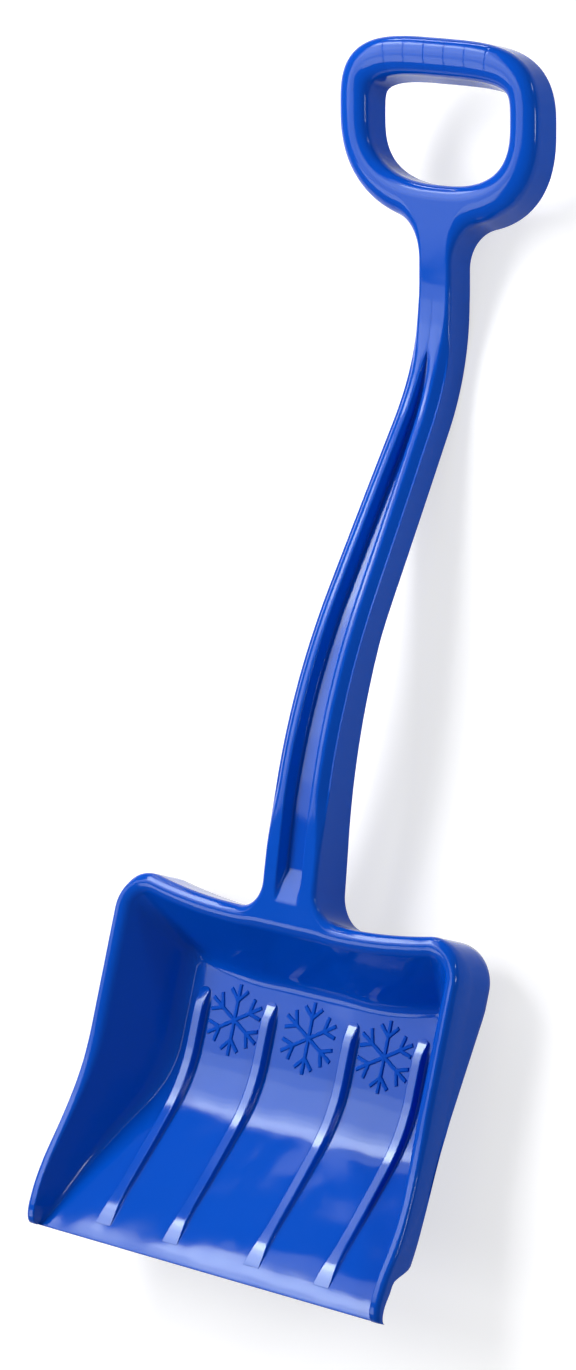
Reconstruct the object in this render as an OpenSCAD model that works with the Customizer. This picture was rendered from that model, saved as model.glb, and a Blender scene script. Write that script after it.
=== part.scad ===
// Child's snow shovel: a bent scoop, a curved channel shaft and a ring grip, all one plastic moulding.
// Lying on its back, X runs to the right, Y from the lip to the grip, Z up out of the open scoop.

/* [Overall] */
// Length from the lip to the top of the grip
length = 663; // [640:1:700]
// Thickness of the moulded walls
wall = 2.6; // [2.2:0.1:3]

/* [Scoop] */
// Width across the lip
lip_w = 240; // [226:1:260]
// Length from the lip to the middle of the back skirt
scoop_len = 194; // [188:1:204]
// Height of the rim over the ground
rim_h = 43; // [40:0.5:46]
// Slope of the front floor, in degrees
floor_tilt = 30; // [27:0.5:32]
// Length of the flat floor behind the bend
flat_len = 37.5; // [34:0.5:44]
// Length of the floor's bend
bend_len = 40; // [30:1:46]
// Side wall run for each millimetre of rise
side_lean = 0.66; // [0.55:0.01:0.74]
// Run of the back wall
back_run = 35.5; // [30:0.5:40]
// Bow of the back edge at its corners
back_bow = 6; // [2:0.5:7]
// Corner radius at the floor
foot_r = 5; // [3:0.5:8]
// Corner radius at the rim
rim_corner_r = 15; // [13:0.5:21]
// How much narrower the rim is at the back than at the lip
rim_taper = 6.7; // [4:0.1:8]

/* [Lip] */
// Length of the digging edge
lip_len = 10; // [7:0.5:13]
// Thickness of the digging edge at its tip, as a share of the wall
lip_thin = 0.55; // [0.45:0.05:0.8]
// How much flatter the floor runs behind the lip
lip_ease = 0.16; // [0:0.02:0.24]

/* [Rim] */
// Radius of the rolled rim
roll_r = 4.5; // [4:0.1:5.5]
// Flat land on top of the rim
roll_land = 3; // [2:0.1:4]
// Height of the skirt's lower edge at the back
skirt_z = 17; // [15:0.5:21]
// Rise of the skirt's lower edge towards the lip
skirt_rise = 0.18; // [0.12:0.01:0.2]
// Draft of skirt, shaft and grip walls, in degrees
draft = 4; // [2:0.5:5]

/* [Floor ribs and snowflakes] */
// Spacing of the inner pair of ribs
rib_in = 57; // [54:0.5:60]
// Spacing of the outer pair of ribs
rib_out = 152; // [146:0.5:158]
// Width of a rib at its foot
rib_w = 7; // [5:0.5:8]
// Height of a rib
rib_h = 4.6; // [3:0.2:6]
// Radius of a snowflake
flake_r = 19.6; // [15:0.2:20]
// Width of a snowflake's arms
flake_w = 1.7; // [1.2:0.1:2.2]
// Height of a snowflake over the floor
flake_h = 0.8; // [0.4:0.1:1.2]

/* [Shaft] */
// Width of the shaft at the scoop
shaft_w = 37; // [34:0.5:40]
// Width of the shaft at the grip
neck_w = 22; // [20:0.2:25]
// Depth of the shaft at its low point
shaft_d = 17.8; // [16:0.2:20]
// Radius of the fillets at the scoop
root_r = 16; // [12:0.5:20]
// Slope of the falling middle stretch, in degrees
fall = 13.5; // [12:0.1:14.5]
// Slope of the rising stretch with the grip, in degrees
rise = 18.3; // [16:0.1:20]
// Distance from the lip to the top of the shaft's bulge
bulge_at = 302; // [290:1:315]
// Distance from the shaft's dip to the top of the grip
dip_top = 163; // [155:1:175]
// Width of the sloped edges along the shaft's front
edge_w = 5.7; // [4.5:0.1:6]
// Drop of the sloped edges along the shaft's front
edge_d = 3.9; // [3:0.1:4.5]
// Half width of the front groove at the scoop
groove_w = 8.1; // [6:0.1:8.6]
// Depth of the front groove
groove_d = 6.2; // [4:0.2:7]
// Length over which the front groove widens
groove_len = 245; // [225:1:265]
// Length of the ramp at the groove's lower end
groove_ramp = 17.5; // [15:0.5:22]

/* [Grip] */
// Width between the crests of the ring's sides
grip_w = 115; // [106:1:124]
// Height between the crests of the ring's bars, seen along Z
grip_h = 74; // [68:1:80]
// Depth of the grip's bars
grip_d = 18.6; // [17:0.2:20]
// Half width of the grip's bars at the back
bar_w = 11.2; // [10.4:0.1:12]
// Length of the neck under the ring's lower crest
neck_len = 48; // [44:0.5:54]
// Radius of the fillets at the neck
neck_r = 24; // [21:0.5:25]

/* [Hidden] */
blue = [0.0, 0.27, 0.72];

// Shared curves: every slope eases into the next along a parabola
function clamp01(u) = min(1, max(0, u));
function ramp(u) = u <= 0 ? 0 : u >= 1 ? u - 0.5 : u * u / 2;
function ease(u) = clamp01(u) * clamp01(u) * (3 - 2 * clamp01(u));
function mix(a, b, q) = a + (b - a) * q;
function unit(v) = v / norm(v);
// A point given by its distance from the lip
function at(x, s, z) = [x, s - length / 2, z];

// Floor of the scoop
tilt = tan(floor_tilt);
skirt_off = (rim_h - roll_r - skirt_z) * tan(draft);
crest_back = scoop_len - roll_land - roll_r - skirt_off;
foot_back = crest_back - back_run;
bend_b = foot_back - flat_len;
bend_a = bend_b - bend_len;
lip_turn = 18;
function floor_z(s) = wall + tilt * bend_len * ramp((bend_b - s) / bend_len)
  - lip_ease * 8 * ramp((lip_turn + 4 - s) / 8);
function floor_m(s) = tilt * clamp01((bend_b - s) / bend_len);
function floor_t(s) = wall * sqrt(1 + floor_m(s) * floor_m(s)) * mix(lip_thin, 1, clamp01(s / lip_len));

// Rim: crest height, crest line and roll along the sides
rim_turn = 74;
rim_turn_w = 60;
corner_s = 12;
function rim_up(s) = rim_h + 0.3 * rim_turn_w * ramp((rim_turn + rim_turn_w / 2 - s) / rim_turn_w)
  - 0.2 * 16 * ramp((30 - s) / 16);
corner_z = rim_up(0) - floor_z(0) - 1.2;
function lip_round(s) = s >= corner_s ? 0 : corner_z * (1 - sqrt(1 - pow(1 - s / corner_s, 2)));
function rim_z(s) = rim_up(s) - lip_round(s);
function roll_k(s) = clamp01((s - 10) / 90);
function roll_at(s) = mix(1.8, roll_r, roll_k(s));
function land_at(s) = mix(0.5, roll_land, roll_k(s));
function crest_x(s) = lip_w / 2 - 0.5 - rim_taper * ease((s - 35) / 75);
root_x = shaft_w / 2 + root_r;
crest_wide = crest_x(length);
crest_turn = atan(2 * back_bow / (crest_wide - rim_corner_r - root_x));
crest_s0 = crest_back + back_bow - rim_corner_r;
foot_wide = crest_wide - side_lean * (rim_h - wall) - 1;
foot_s0 = foot_back + back_bow - foot_r;
function foot_x(s) = crest_x(s * crest_s0 / foot_s0)
  - side_lean * (rim_z(s * crest_s0 / foot_s0) - floor_z(s)) - 1;
function skirt_low(s) = mix(rim_z(s) - edge_h, skirt_z + skirt_rise * max(0, 165 - s), ease((s - 21) / 10));
edge_h = 6.5;

// Stations round the scoop from the right end of the lip to the middle of the back:
// [foot x, foot s, crest x, crest s, outward direction x, outward direction s]
side_s = concat([for (i = [0:3]) lip_len * i / 3], [for (i = [1:7]) mix(lip_len, bend_a, i / 7)],
  [for (i = [1:8]) mix(bend_a, bend_b, i / 8)], [for (i = [1:3]) mix(bend_b, foot_s0, i / 3)]);
corner_n = 6;
back_n = 4;
function side_station(s) = [foot_x(s), s, crest_x(s * crest_s0 / foot_s0), s * crest_s0 / foot_s0, 1, 0];
function corner_station(i) = let (a = (90 + crest_turn) * i / corner_n)
  [foot_wide - foot_r + foot_r * cos(a), foot_s0 + foot_r * sin(a),
   crest_wide - rim_corner_r + rim_corner_r * cos(a), crest_s0 + rim_corner_r * sin(a), cos(a), sin(a)];
corner_end = corner_station(corner_n);
function back_station(i) = let (q = i / back_n, a = 90 + crest_turn * (1 - q))
  [mix(corner_end[0], root_x, q), mix(foot_back, corner_end[1], (1 - q) * (1 - q)),
   mix(corner_end[2], root_x, q), mix(crest_back, corner_end[3], (1 - q) * (1 - q)), cos(a), sin(a)];
half_path = concat([for (s = side_s) side_station(s)], [for (i = [1:corner_n]) corner_station(i)],
  [for (i = [1:back_n]) back_station(i)]);
function mirrored(p) = [-p[0], p[1], -p[2], p[3], -p[4], p[5]];
scoop_path = concat(half_path, [for (i = [len(half_path) - 1:-1:0]) mirrored(half_path[i])]);

// Closed skin of rings with as many points each, and two end faces
function skin_faces(rows, cols) = concat(
  [for (i = [0:rows - 2], j = [0:cols - 1]) let (k = (j + 1) % cols)
    [i * cols + j, (i + 1) * cols + k, i * cols + k]],
  [for (i = [0:rows - 2], j = [0:cols - 1]) let (k = (j + 1) % cols)
    [i * cols + j, (i + 1) * cols + j, (i + 1) * cols + k]]);
// Strip of triangles between two chains of points
function pair(i, a, b) = round(i * (b - 1) / (a - 1));
function zip(a, b) = concat(
  [for (i = [0:len(a) - 2]) [a[i], a[i + 1], b[pair(i, len(a), len(b))]]],
  [for (i = [0:len(a) - 2], j = [pair(i, len(a), len(b)):1:pair(i + 1, len(a), len(b)) - 1])
    [b[j], a[i + 1], b[j + 1]]]);
function span(a, b) = a <= b ? [for (i = [a:b]) i] : [for (i = [a:-1:b]) i];
// Both end faces of a skin from the triangles of one ring
function both_ends(cap, rows, cols) = concat(cap,
  [for (f = cap) [f[2], f[1], f[0]] + [1, 1, 1] * (rows - 1) * cols]);
function joined(lists) = [for (l = lists) each l];
module skin(rings, cap) {
  rows = len(rings);
  cols = len(rings[0]);
  polyhedron(points = joined(rings), faces = concat(skin_faces(rows, cols), both_ends(cap, rows, cols)));
}

// Wall of the scoop from the floor's edge up to the land on the rim
wall_steep = 58;
wall_n = 6;
fillet = 0.3;
function wall_g(q) = fillet * ramp(q / fillet) / (1 - fillet / 2);
function wall_ring(p) = let (
    n = [p[4], p[5]], f = [p[0], p[1]], c = [p[2], p[3]],
    zf = floor_z(p[1]), tf = floor_t(p[1]), zc = rim_z(p[3]), r = roll_at(p[3]), ri = max(0.4, r - wall),
    e = c - n * r * sin(wall_steep), ze = zc - r + r * cos(wall_steep), d = unit(e - f), run = norm(e - f),
    a = c + n * land_at(p[3]), up = ze - floor_z(e[1]))
  concat(
    [for (i = [0:wall_n]) let (q = i / wall_n, t = mix(f, e, q))
      at(t[0], t[1], floor_z(t[1]) + up * wall_g(q))],
    [for (i = [2:-1:0]) let (g = wall_steep * i / 3, t = c - n * r * sin(g))
      at(t[0], t[1], zc - r + r * cos(g))],
    [at(a[0], a[1], zc), at(a[0], a[1], zc - wall)],
    [for (i = [0:3]) let (g = wall_steep * i / 3, t = c - n * ri * sin(g))
      at(t[0], t[1], zc - wall - ri + ri * cos(g))],
    [for (i = [wall_n - 1:-1:1]) let (q = i / wall_n, t = mix(f, e, q),
        g = atan(up * clamp01(q / fillet) / (1 - fillet / 2) / run), o = t + d * wall * sin(g))
      at(o[0], o[1], floor_z(t[1]) + up * wall_g(q) - mix(tf, wall, clamp01(q / fillet)) * cos(g))],
    [at(f[0], f[1], zf - tf)]);

// Outer half of the rolled rim and the skirt below it
function skirt_ring(p) = let (
    n = [p[4], p[5]], s = p[3], zc = rim_z(s), r = max(roll_at(s), wall + 0.5), zb = skirt_low(s),
    a = [p[2], p[3]] + n * land_at(s), off = (zc - r - zb) * tan(draft),
    low = a + n * (r + off), inn = a + n * (r + off - wall), top = a + n * (r - wall))
  concat(
    [for (i = [0:4]) let (t = a + n * r * sin(22.5 * i)) at(t[0], t[1], zc - r + r * cos(22.5 * i))],
    [at(low[0], low[1], zb), at(inn[0], inn[1], zb), at(top[0], top[1], zc - wall), at(a[0], a[1], zc - wall)]);

module skirt() {
  rings = [for (p = half_path) skirt_ring(p)];
  color(blue) skin(rings, zip(span(0, 5), span(8, 6)));
}

module scoop_wall() {
  rings = [for (p = scoop_path) wall_ring(p)];
  color(blue) skin(rings, zip(span(0, wall_n + 4), span(len(rings[0]) - 1, wall_n + 5)));
}

// Floor sheet over the stations of one half: level strips, then a flat fan of faces behind the bend
module sheet(half, strips) {
  n = len(half);
  m = 2 * n;
  flat = strips < n - 1;
  loop = concat(half, [for (i = [n - 1:-1:0]) mirrored(half[i])], flat ? [[0, (bend_b + foot_back) / 2]] : []);
  k = len(loop);
  top = [for (p = loop) at(p[0], p[1], floor_z(p[1]))];
  low = [for (p = loop) at(p[0], p[1], floor_z(p[1]) - floor_t(p[1]))];
  cap = concat([for (i = [0:strips - 1]) [i, m - 1 - i, m - 2 - i, i + 1]],
    flat ? concat([[strips, m - 1 - strips, m]], [for (i = [strips:m - 2 - strips]) [i + 1, i, m]]) : []);
  polyhedron(points = concat(top, low), faces = concat(cap,
    [for (f = cap) [for (i = [len(f) - 1:-1:0]) f[i] + k]],
    [for (i = [0:m - 1]) let (j = (i + 1) % m) [i, j, j + k, i + k]]));
}

module lip_edge() {
  half = [for (s = side_s) if (s <= lip_len + 0.001) side_station(s)];
  color(blue) sheet(half, len(half) - 1);
}

module scoop_floor() {
  sloped = [for (s = side_s) if (s >= lip_len - 0.001 && s <= bend_b + 0.001) s];
  color(blue) sheet([for (p = half_path) if (p[1] >= lip_len - 0.001) p], len(sloped) - 1);
}

// Raised floor ribs with a rounded top end and a low, squared end at the lip
rib_a = lip_len + 2;
rib_b = foot_back - 6;
function rib_rise(s) = min(rib_h, 0.9 + (s - rib_a) * 0.062)
  * (s > rib_b - 4 ? sqrt(max(0.04, 1 - pow((s - rib_b + 4) / 4, 2))) : 1);
rib_s = concat([rib_a], [for (s = side_s) if (s > rib_a + 0.5 && s < rib_b - 5) s],
  [for (i = [0:3]) rib_b - 4 + 4 * i / 3]);
module floor_rib(x) {
  rings = [for (s = rib_s) let (z = floor_z(s), h = rib_rise(s), t = rib_w / 2 - 1.1 * h / rib_h)
    [at(x - rib_w / 2, s, z), at(x - t, s, z + h), at(x + t, s, z + h), at(x + rib_w / 2, s, z)]];
  color(blue) skin(rings, zip([0, 1], [3, 2]));
}
module floor_rib_1() { floor_rib(-rib_out / 2); }
module floor_rib_2() { floor_rib(-rib_in / 2); }
module floor_rib_3() { floor_rib(rib_in / 2); }
module floor_rib_4() { floor_rib(rib_out / 2); }

// Plain six-armed snowflakes standing on the flat part of the floor
flake_s = min(rib_b - 8, foot_back - flake_r - 0.8);
module snowflake(x) {
  color(blue) translate(at(x, flake_s, wall)) linear_extrude(flake_h) union() {
    for (a = [0:60:300]) rotate(a) {
      translate([-flake_w / 2, 0]) square([flake_w, flake_r]);
      for (b = [-45, 45]) translate([0, flake_r * 0.55]) rotate(b)
        translate([-flake_w / 2, 0]) square([flake_w, flake_r * 0.42]);
    }
  }
}
flake_x = (rib_out + rib_in) / 4;
module snowflake_left() { snowflake(-flake_x); }
module snowflake_middle() { snowflake(0); }
module snowflake_right() { snowflake(flake_x); }

// Front line of shaft and grip, low enough at the dip for the back edge to touch the ground
dip_at = length - dip_top;
dip_w = 77;
bulge_w = 130;
m_fall = -tan(fall);
m_rise = tan(rise);
dip_z = shaft_d + m_fall * dip_w / 2 * m_rise / (m_rise - m_fall);
bulge_z = dip_z + m_fall * (bulge_at - dip_at);
root_s = crest_back + roll_land;
m_root = (bulge_z - rim_h) / (bulge_at - root_s);
function front_z(s) = rim_h + m_root * (s - root_s)
  + (m_fall - m_root) * bulge_w * ramp((s - bulge_at + bulge_w / 2) / bulge_w)
  + (m_rise - m_fall) * dip_w * ramp((s - dip_at + dip_w / 2) / dip_w);
deep_s = dip_at - 2 * dip_w;
function depth(s) = shaft_d + (rim_h - skirt_z - shaft_d) * clamp01((deep_s - s) / (deep_s - root_s));

// Shaft outline: half width at the front, groove width and depth
edge_r = 3;
ring_top = length - bar_w;
ring_up = grip_h * 0.415;
ring_mid = ring_top - ring_up;
ring_low = ring_top - grip_h;
neck_s = ring_low - neck_len;
slim_s = 225;
function shaft_x(s) = mix(shaft_w, neck_w, pow(clamp01((s - slim_s) / (neck_s - slim_s)), 1.6)) / 2;
flare_s = root_s + roll_r + root_r;
join_s = flare_s + 14;
// Edges of the shaft's front: rounded at both ends of the shaft, sloped between them
function edge_k(s) = ease((s - join_s) / 40) * ease((neck_s - s) / 45);
// Front groove: it narrows to a point at the dip, and its lower end runs out in a ramp
groove_end = root_s + 11;
function groove_k(s) = clamp01((dip_at - s) / groove_len);
function groove_x(s) = 0.4 + groove_w * sqrt(groove_k(s));
function groove_z(s) = max(0.05,
  groove_d * min(clamp01(2.2 * sqrt(groove_k(s))), clamp01((s - groove_end) / groove_ramp)));
// Stations up the shaft: [outer x, outer s, inner s, outward direction x, s, edge width, edge drop]
function root_station(a) = let (r = mix(roll_r, edge_r, a / 90))
  [root_x - root_r * sin(a), flare_s - root_r * cos(a), flare_s - (root_r + r) * cos(a), sin(a), cos(a), r, r];
function shaft_station(s) = concat([shaft_x(s), s, s, 1, 0],
  mix([edge_r, edge_r], [edge_w, edge_d], edge_k(s)));
function neck_station(a) = [shaft_x(neck_s) + neck_r * (1 - cos(a)), neck_0 + neck_r * sin(a),
  neck_0 + (neck_r + edge_r) * sin(a), cos(a), -sin(a), edge_r, edge_r];
// Half sections from the middle outwards: the outside, then the hollow
slope = [[0, 0], [0.14, 0.09], [0.5, 0.46], [0.92, 0.9], [1, 1]];
function outer_half(p) = let (s = p[2], n = [p[3], p[4]], o = [p[0], p[1]], r = p[5], e = p[6],
    z = front_z(s), d = depth(s), i = o - n * r, low = o + n * (d - e) * tan(draft),
    g = groove_x(s), v = groove_z(s))
  concat([at(g * 0.8, s, z - v), at(g, s, z)],
    [for (k = [0:4]) let (round = [sin(22.5 * k), 1 - cos(22.5 * k)],
        c = mix(round, slope[k], 0.7 * edge_k(s)), t = i + n * r * c[0])
      at(t[0], t[1], z - e * c[1])],
    [at(low[0], low[1], z - d)]);
function hollow_top(s) = wall + 1.9 * edge_k(s);
function inner_half(p) = let (s = p[2], n = [p[3], p[4]], o = [p[0], p[1]], r = p[5], e = p[6],
    z = front_z(s), d = depth(s), low = o + n * ((d - e) * tan(draft) - wall), top = o - n * wall,
    i = o - n * (max(r, wall + 0.3) + 0.8 * edge_k(s)),
    g = groove_x(s), v = groove_z(s))
  [at(low[0], low[1], z - d), at(top[0], top[1], z - hollow_top(s)), at(i[0], i[1], z - wall),
   at(g + wall * 0.75, s, z - wall), at(g * 0.8 + wall * 0.65, s, z - v - wall)];
function flip(l) = [for (i = [len(l) - 1:-1:0]) [-l[i][0], l[i][1], l[i][2]]];
function channel_ring(p) = concat(outer_half(p), inner_half(p), flip(inner_half(p)), flip(outer_half(p)));
channel_cap = concat(zip(span(0, 2), span(12, 10)), zip(span(2, 7), span(10, 8)), [[25, 0, 12], [25, 12, 13]],
  zip(span(18, 23), span(17, 15)), zip(span(23, 25), span(15, 13)));

root_list = concat([for (a = [0:15:90]) root_station(a)], [shaft_station(join_s)]);
// The shaft has a station at each face of its cross webs and three between them
web_n = 7;
web_t = 1.6;
web_in = 3;
web_gap = (neck_s - join_s) / web_n;
function web_s(i) = join_s + web_gap * (i - 0.5);
shaft_list = concat([shaft_station(join_s), shaft_station(join_s + web_gap / 4)],
  [for (i = [1:web_n]) each [for (d = concat([-web_t / 2, web_t / 2],
    i < web_n ? [web_gap / 4, web_gap / 2, web_gap * 3 / 4] : [web_gap / 4])) shaft_station(web_s(i) + d)]],
  [shaft_station(neck_s)]);

module shaft_root() {
  color(blue) skin([for (p = root_list) channel_ring(p)], channel_cap);
}

module shaft_channel() {
  color(blue) skin([for (p = shaft_list) channel_ring(p)], channel_cap);
}

// Cross webs inside the shaft, set back from its open side
function web_half(s) = let (h = inner_half(shaft_station(s)), d = depth(s))
  [mix(h[1], h[0], (d - web_in - hollow_top(s)) / (d - hollow_top(s))), h[1], h[2], h[3], h[4]];
function web_ring(s) = concat(web_half(s), flip(web_half(s)));
module shaft_web(i) {
  cap = [[0, 1, 2], [0, 2, 3], [0, 3, 4], [0, 4, 5], [0, 5, 9], [9, 5, 6], [9, 6, 7], [9, 7, 8]];
  rings = [web_ring(web_s(i) + web_t / 2), web_ring(web_s(i) - web_t / 2)];
  color(blue) skin(rings, cap);
}
module shaft_web_1() { shaft_web(1); }
module shaft_web_2() { shaft_web(2); }
module shaft_web_3() { shaft_web(3); }
module shaft_web_4() { shaft_web(4); }
module shaft_web_5() { shaft_web(5); }
module shaft_web_6() { shaft_web(6); }
module shaft_web_7() { shaft_web(7); }

// Ring of the grip: squarish above, rounder below, its bars arched and open at the back
function sgn_pow(v, e) = sign(v) * pow(abs(v), e);
function ring_pt(a) = let (e = sin(a) >= 0 ? 2 / 3.1 : 2 / 2.5, h = sin(a) >= 0 ? ring_up : grip_h - ring_up)
  [grip_w / 2 * sgn_pow(cos(a), e), ring_mid + h * sgn_pow(sin(a), e)];
// Stations round the ring: the corners by angle, the top bar by the faces of its webs
grip_web_gap = grip_w * 0.119;
function top_a(x) = acos(pow(x / grip_w * 2, 1.55));
function web_x(i) = grip_web_gap * (i - 3.5);
top_x = [for (i = [6:-1:4]) each [web_x(i) + web_t / 2, web_x(i) - web_t / 2, web_x(i) - grip_web_gap / 2]];
corner_a = top_a(top_x[0]);
up_a = concat([for (i = [0:8]) corner_a * (i / 9 - 0.06 * sin(360 * i / 9))], [for (x = top_x) top_a(x)]);
low_a = [for (i = [0:15]) let (u = 180 + 180 * i / 16) u - 9 * sin(4 * u)];
ring_a = concat(up_a, [for (i = [len(up_a) - 2:-1:0]) 180 - up_a[i]], tail(low_a));
function tail(l) = [for (i = [1:len(l) - 1]) l[i]];
ring_n = len(ring_a);
function ring_dir(a) = let (d = ring_pt(a + 1.5) - ring_pt(a - 1.5)) unit([d[1], -d[0]]);
arch_w = 9.9;
arch_d = 8;
function arch(q, d) = (arch_w - d) * sqrt(1 - pow((arch_d - q) / (arch_d - d), 2));
function bar_half(q) = q <= arch_d ? arch(q, 0) : mix(arch_w, bar_w, (q - arch_d) / (grip_d - arch_d));
bar_out = [for (q = [grip_d, arch_d, 4.6, 2.2, 0.9, 0.2]) [-bar_half(q), q]];
bar_in = concat([for (q = [grip_d, arch_d]) [wall - bar_half(q), q]],
  [for (k = [0.55, 0.2]) let (q = mix(wall, arch_d, k)) [-arch(q, wall), q]]);
function both_sides(l, top) = concat(l, [[0, top]], [for (i = [len(l) - 1:-1:0]) [-l[i][0], l[i][1]]]);
bar_section = both_sides(bar_out, 0);
bar_hollow = both_sides(bar_in, wall);
function sheared(t, q) = at(t[0], t[1], front_z(t[1]) - q);
function bar_ring(section, a) = let (c = ring_pt(a), n = ring_dir(a))
  [for (k = section) sheared(c + n * k[0], k[1])];
function turned(l) = [for (i = [len(l) - 1:-1:0]) l[i]];
module grip_ring() {
  rings = [for (a = ring_a) concat(bar_ring(bar_section, a), turned(bar_ring(bar_hollow, a)))];
  m = len(rings[0]);
  color(blue) polyhedron(points = joined(rings), faces = concat(
    [for (i = [0:ring_n - 1], j = [0:m - 1]) let (k = (j + 1) % m, l = (i + 1) % ring_n)
      [i * m + j, l * m + k, i * m + k]],
    [for (i = [0:ring_n - 1], j = [0:m - 1]) let (k = (j + 1) % m, l = (i + 1) % ring_n)
      [i * m + j, l * m + j, l * m + k]]));
}

// Neck under the ring: its fillets run out on the outer wall of the lower bar
neck_0 = ring_low - arch_w + 1.8 - neck_r;
neck_a = 48;
front_a = 80;
low_turn = 75;
function neck_outer(p) = let (h = outer_half(p), t = h[2][0] / 3)
  concat([[t, h[1][1], h[1][2]], [2 * t, h[1][1], h[1][2]]], [for (i = [2:6]) h[i]],
    [mix(h[6], h[7], (arch_d - edge_r) / (shaft_d - edge_r)), h[7]]);
function neck_inner(p) = let (h = inner_half(p), t = h[2][0] / 3)
  [h[0], mix(h[1], h[0], (arch_d - wall) / (shaft_d - wall)), h[1], h[2],
   [2 * t, h[3][1], h[2][2]], [t, h[3][1], h[2][2]]];
neck_cap = concat(zip(span(0, 2), span(14, 12)), zip(span(2, 8), span(12, 9)), [[29, 0, 14], [29, 14, 15]],
  zip(span(21, 27), span(20, 17)), zip(span(27, 29), span(17, 15)));
// A point on the lower bar's outer wall, from its x and its depth under the front
bar_fit = 0.2;
function bar_line(h) = [for (a = low_a) if (a >= 270) ring_pt(a) + ring_dir(a) * h];
function on_bar(p) = sheared([p[0], lookup(p[0], bar_line(bar_half(p[1]) + bar_fit))], p[1]);
front_end = neck_station(front_a)[0];
seat_x = front_end - 3 * wall;
seat_outer = concat([for (k = [1:3]) [front_end * k / 3, 0.2]],
  [for (k = [1:4]) [front_end + 0.1 * k, 0.2 + 0.5 * k]],
  [[front_end + 0.5, arch_d], [neck_station(low_turn)[0], grip_d]]);
seat_inner = [[neck_station(neck_a)[0] - 0.5, grip_d], [seat_x - 1, arch_d], [seat_x + 0.6, wall],
  [seat_x, wall], [seat_x * 2 / 3, wall], [seat_x / 3, wall]];
seat_to_inner = [5, 4, 3, 3, 3, 2, 2, 1, 0];
seat_to_outer = [8, 7, 6, 3, 1, 0];
function seat_ring(q) = full_loop(
  [for (k = [0:8]) on_bar(mix(seat_outer[k], seat_inner[seat_to_inner[k]], q))],
  [for (k = [0:5]) on_bar(mix(seat_inner[k], seat_outer[seat_to_outer[k]], q))]);
function full_loop(o, i) = concat(o, i, flip(i), flip(o));
function neck_ring(p) = full_loop(neck_outer(p), neck_inner(p));
// Between the last round station and the bar, the outside keeps to the fillet
function neck_mid(q) = let (o = neck_outer(neck_station(mix(neck_a, front_a, q))),
    low = neck_outer(neck_station(mix(neck_a, low_turn, q)))[8], i = neck_inner(neck_station(neck_a)))
  full_loop(concat([for (k = [0:7]) o[k]], [low]), [for (k = [0:5]) mix(i[k], on_bar(seat_inner[k]), q)]);
module grip_neck() {
  color(blue) skin(concat([neck_ring(shaft_station(neck_s)), neck_ring(shaft_station((neck_s + neck_0) / 2))],
    [for (a = [0:12:neck_a]) neck_ring(neck_station(a))], [neck_mid(1 / 3), neck_mid(2 / 3)],
    [seat_ring(0), seat_ring(0.45)]), neck_cap);
}

// Cross webs in the top bar of the ring
module grip_web(i) {
  foot = [mix(bar_in[0][0], bar_in[1][0], web_in / (grip_d - arch_d)), grip_d - web_in];
  section = both_sides(concat([foot], tail(bar_in)), wall);
  a = web_x(i) > 0 ? top_a(web_x(i) + web_t / 2) : 180 - top_a(web_t / 2 - web_x(i) - web_t);
  b = web_x(i) > 0 ? top_a(web_x(i) - web_t / 2) : 180 - top_a(web_t / 2 - web_x(i));
  color(blue) skin([bar_ring(section, a), bar_ring(section, b)],
    concat(zip(span(0, 3), span(8, 5)), [[3, 4, 5]]));
}
module grip_web_1() { grip_web(1); }
module grip_web_2() { grip_web(2); }
module grip_web_3() { grip_web(3); }
module grip_web_4() { grip_web(4); }
module grip_web_5() { grip_web(5); }
module grip_web_6() { grip_web(6); }

module skirt_right() { skirt(); }
module skirt_left() { mirror([1, 0, 0]) skirt(); }

scoop_floor();
lip_edge();
scoop_wall();
skirt_left();
skirt_right();
floor_rib_1();
floor_rib_2();
floor_rib_3();
floor_rib_4();
snowflake_left();
snowflake_middle();
snowflake_right();
shaft_root();
shaft_channel();
grip_neck();
grip_ring();
shaft_web_1();
shaft_web_2();
shaft_web_3();
shaft_web_4();
shaft_web_5();
shaft_web_6();
shaft_web_7();
grip_web_1();
grip_web_2();
grip_web_3();
grip_web_4();
grip_web_5();
grip_web_6();
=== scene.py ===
"""Child's snow shovel: the dressed model of the part, its blue plastic and a plain studio.

All sizes are in millimetres until a mesh is made, and a point is given by x, by s, its distance
from the lip, and by z, its height over the ground. The moulding's regions are surfaces worked out
on grids from the same curves as the solids, only finer and with rounded edges.
"""

import logging
import math
from dataclasses import dataclass, field
from enum import Enum
from functools import cached_property
from typing import Sequence

import bpy
import numpy as np
from mathutils import Matrix, Vector


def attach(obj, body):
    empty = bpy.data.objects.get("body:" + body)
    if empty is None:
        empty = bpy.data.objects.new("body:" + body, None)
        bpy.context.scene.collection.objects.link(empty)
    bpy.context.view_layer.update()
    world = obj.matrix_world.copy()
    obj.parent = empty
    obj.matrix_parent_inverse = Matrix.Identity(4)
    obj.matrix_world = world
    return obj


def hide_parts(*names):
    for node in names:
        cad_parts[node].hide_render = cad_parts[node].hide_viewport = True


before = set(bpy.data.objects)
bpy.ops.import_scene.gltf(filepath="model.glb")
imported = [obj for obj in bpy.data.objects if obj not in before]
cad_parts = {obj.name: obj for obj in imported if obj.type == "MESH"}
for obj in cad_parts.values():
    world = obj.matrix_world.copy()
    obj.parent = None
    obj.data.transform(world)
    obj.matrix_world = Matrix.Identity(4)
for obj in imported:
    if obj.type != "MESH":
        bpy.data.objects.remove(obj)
LOG = logging.getLogger("shovel")
MM = 0.001  # metres in a millimetre
NEAR = 0.001  # millimetres within which two places count as one
SHARP = math.radians(38)  # angle from which an edge counts as sharp
QUARTER = np.radians(90)  # a right angle
FLIP = np.array([-1, 1])  # mirrors the first of two coordinates
Array = np.ndarray
Triple = tuple[float, float, float]
Socket = bpy.types.NodeSocket


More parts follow.
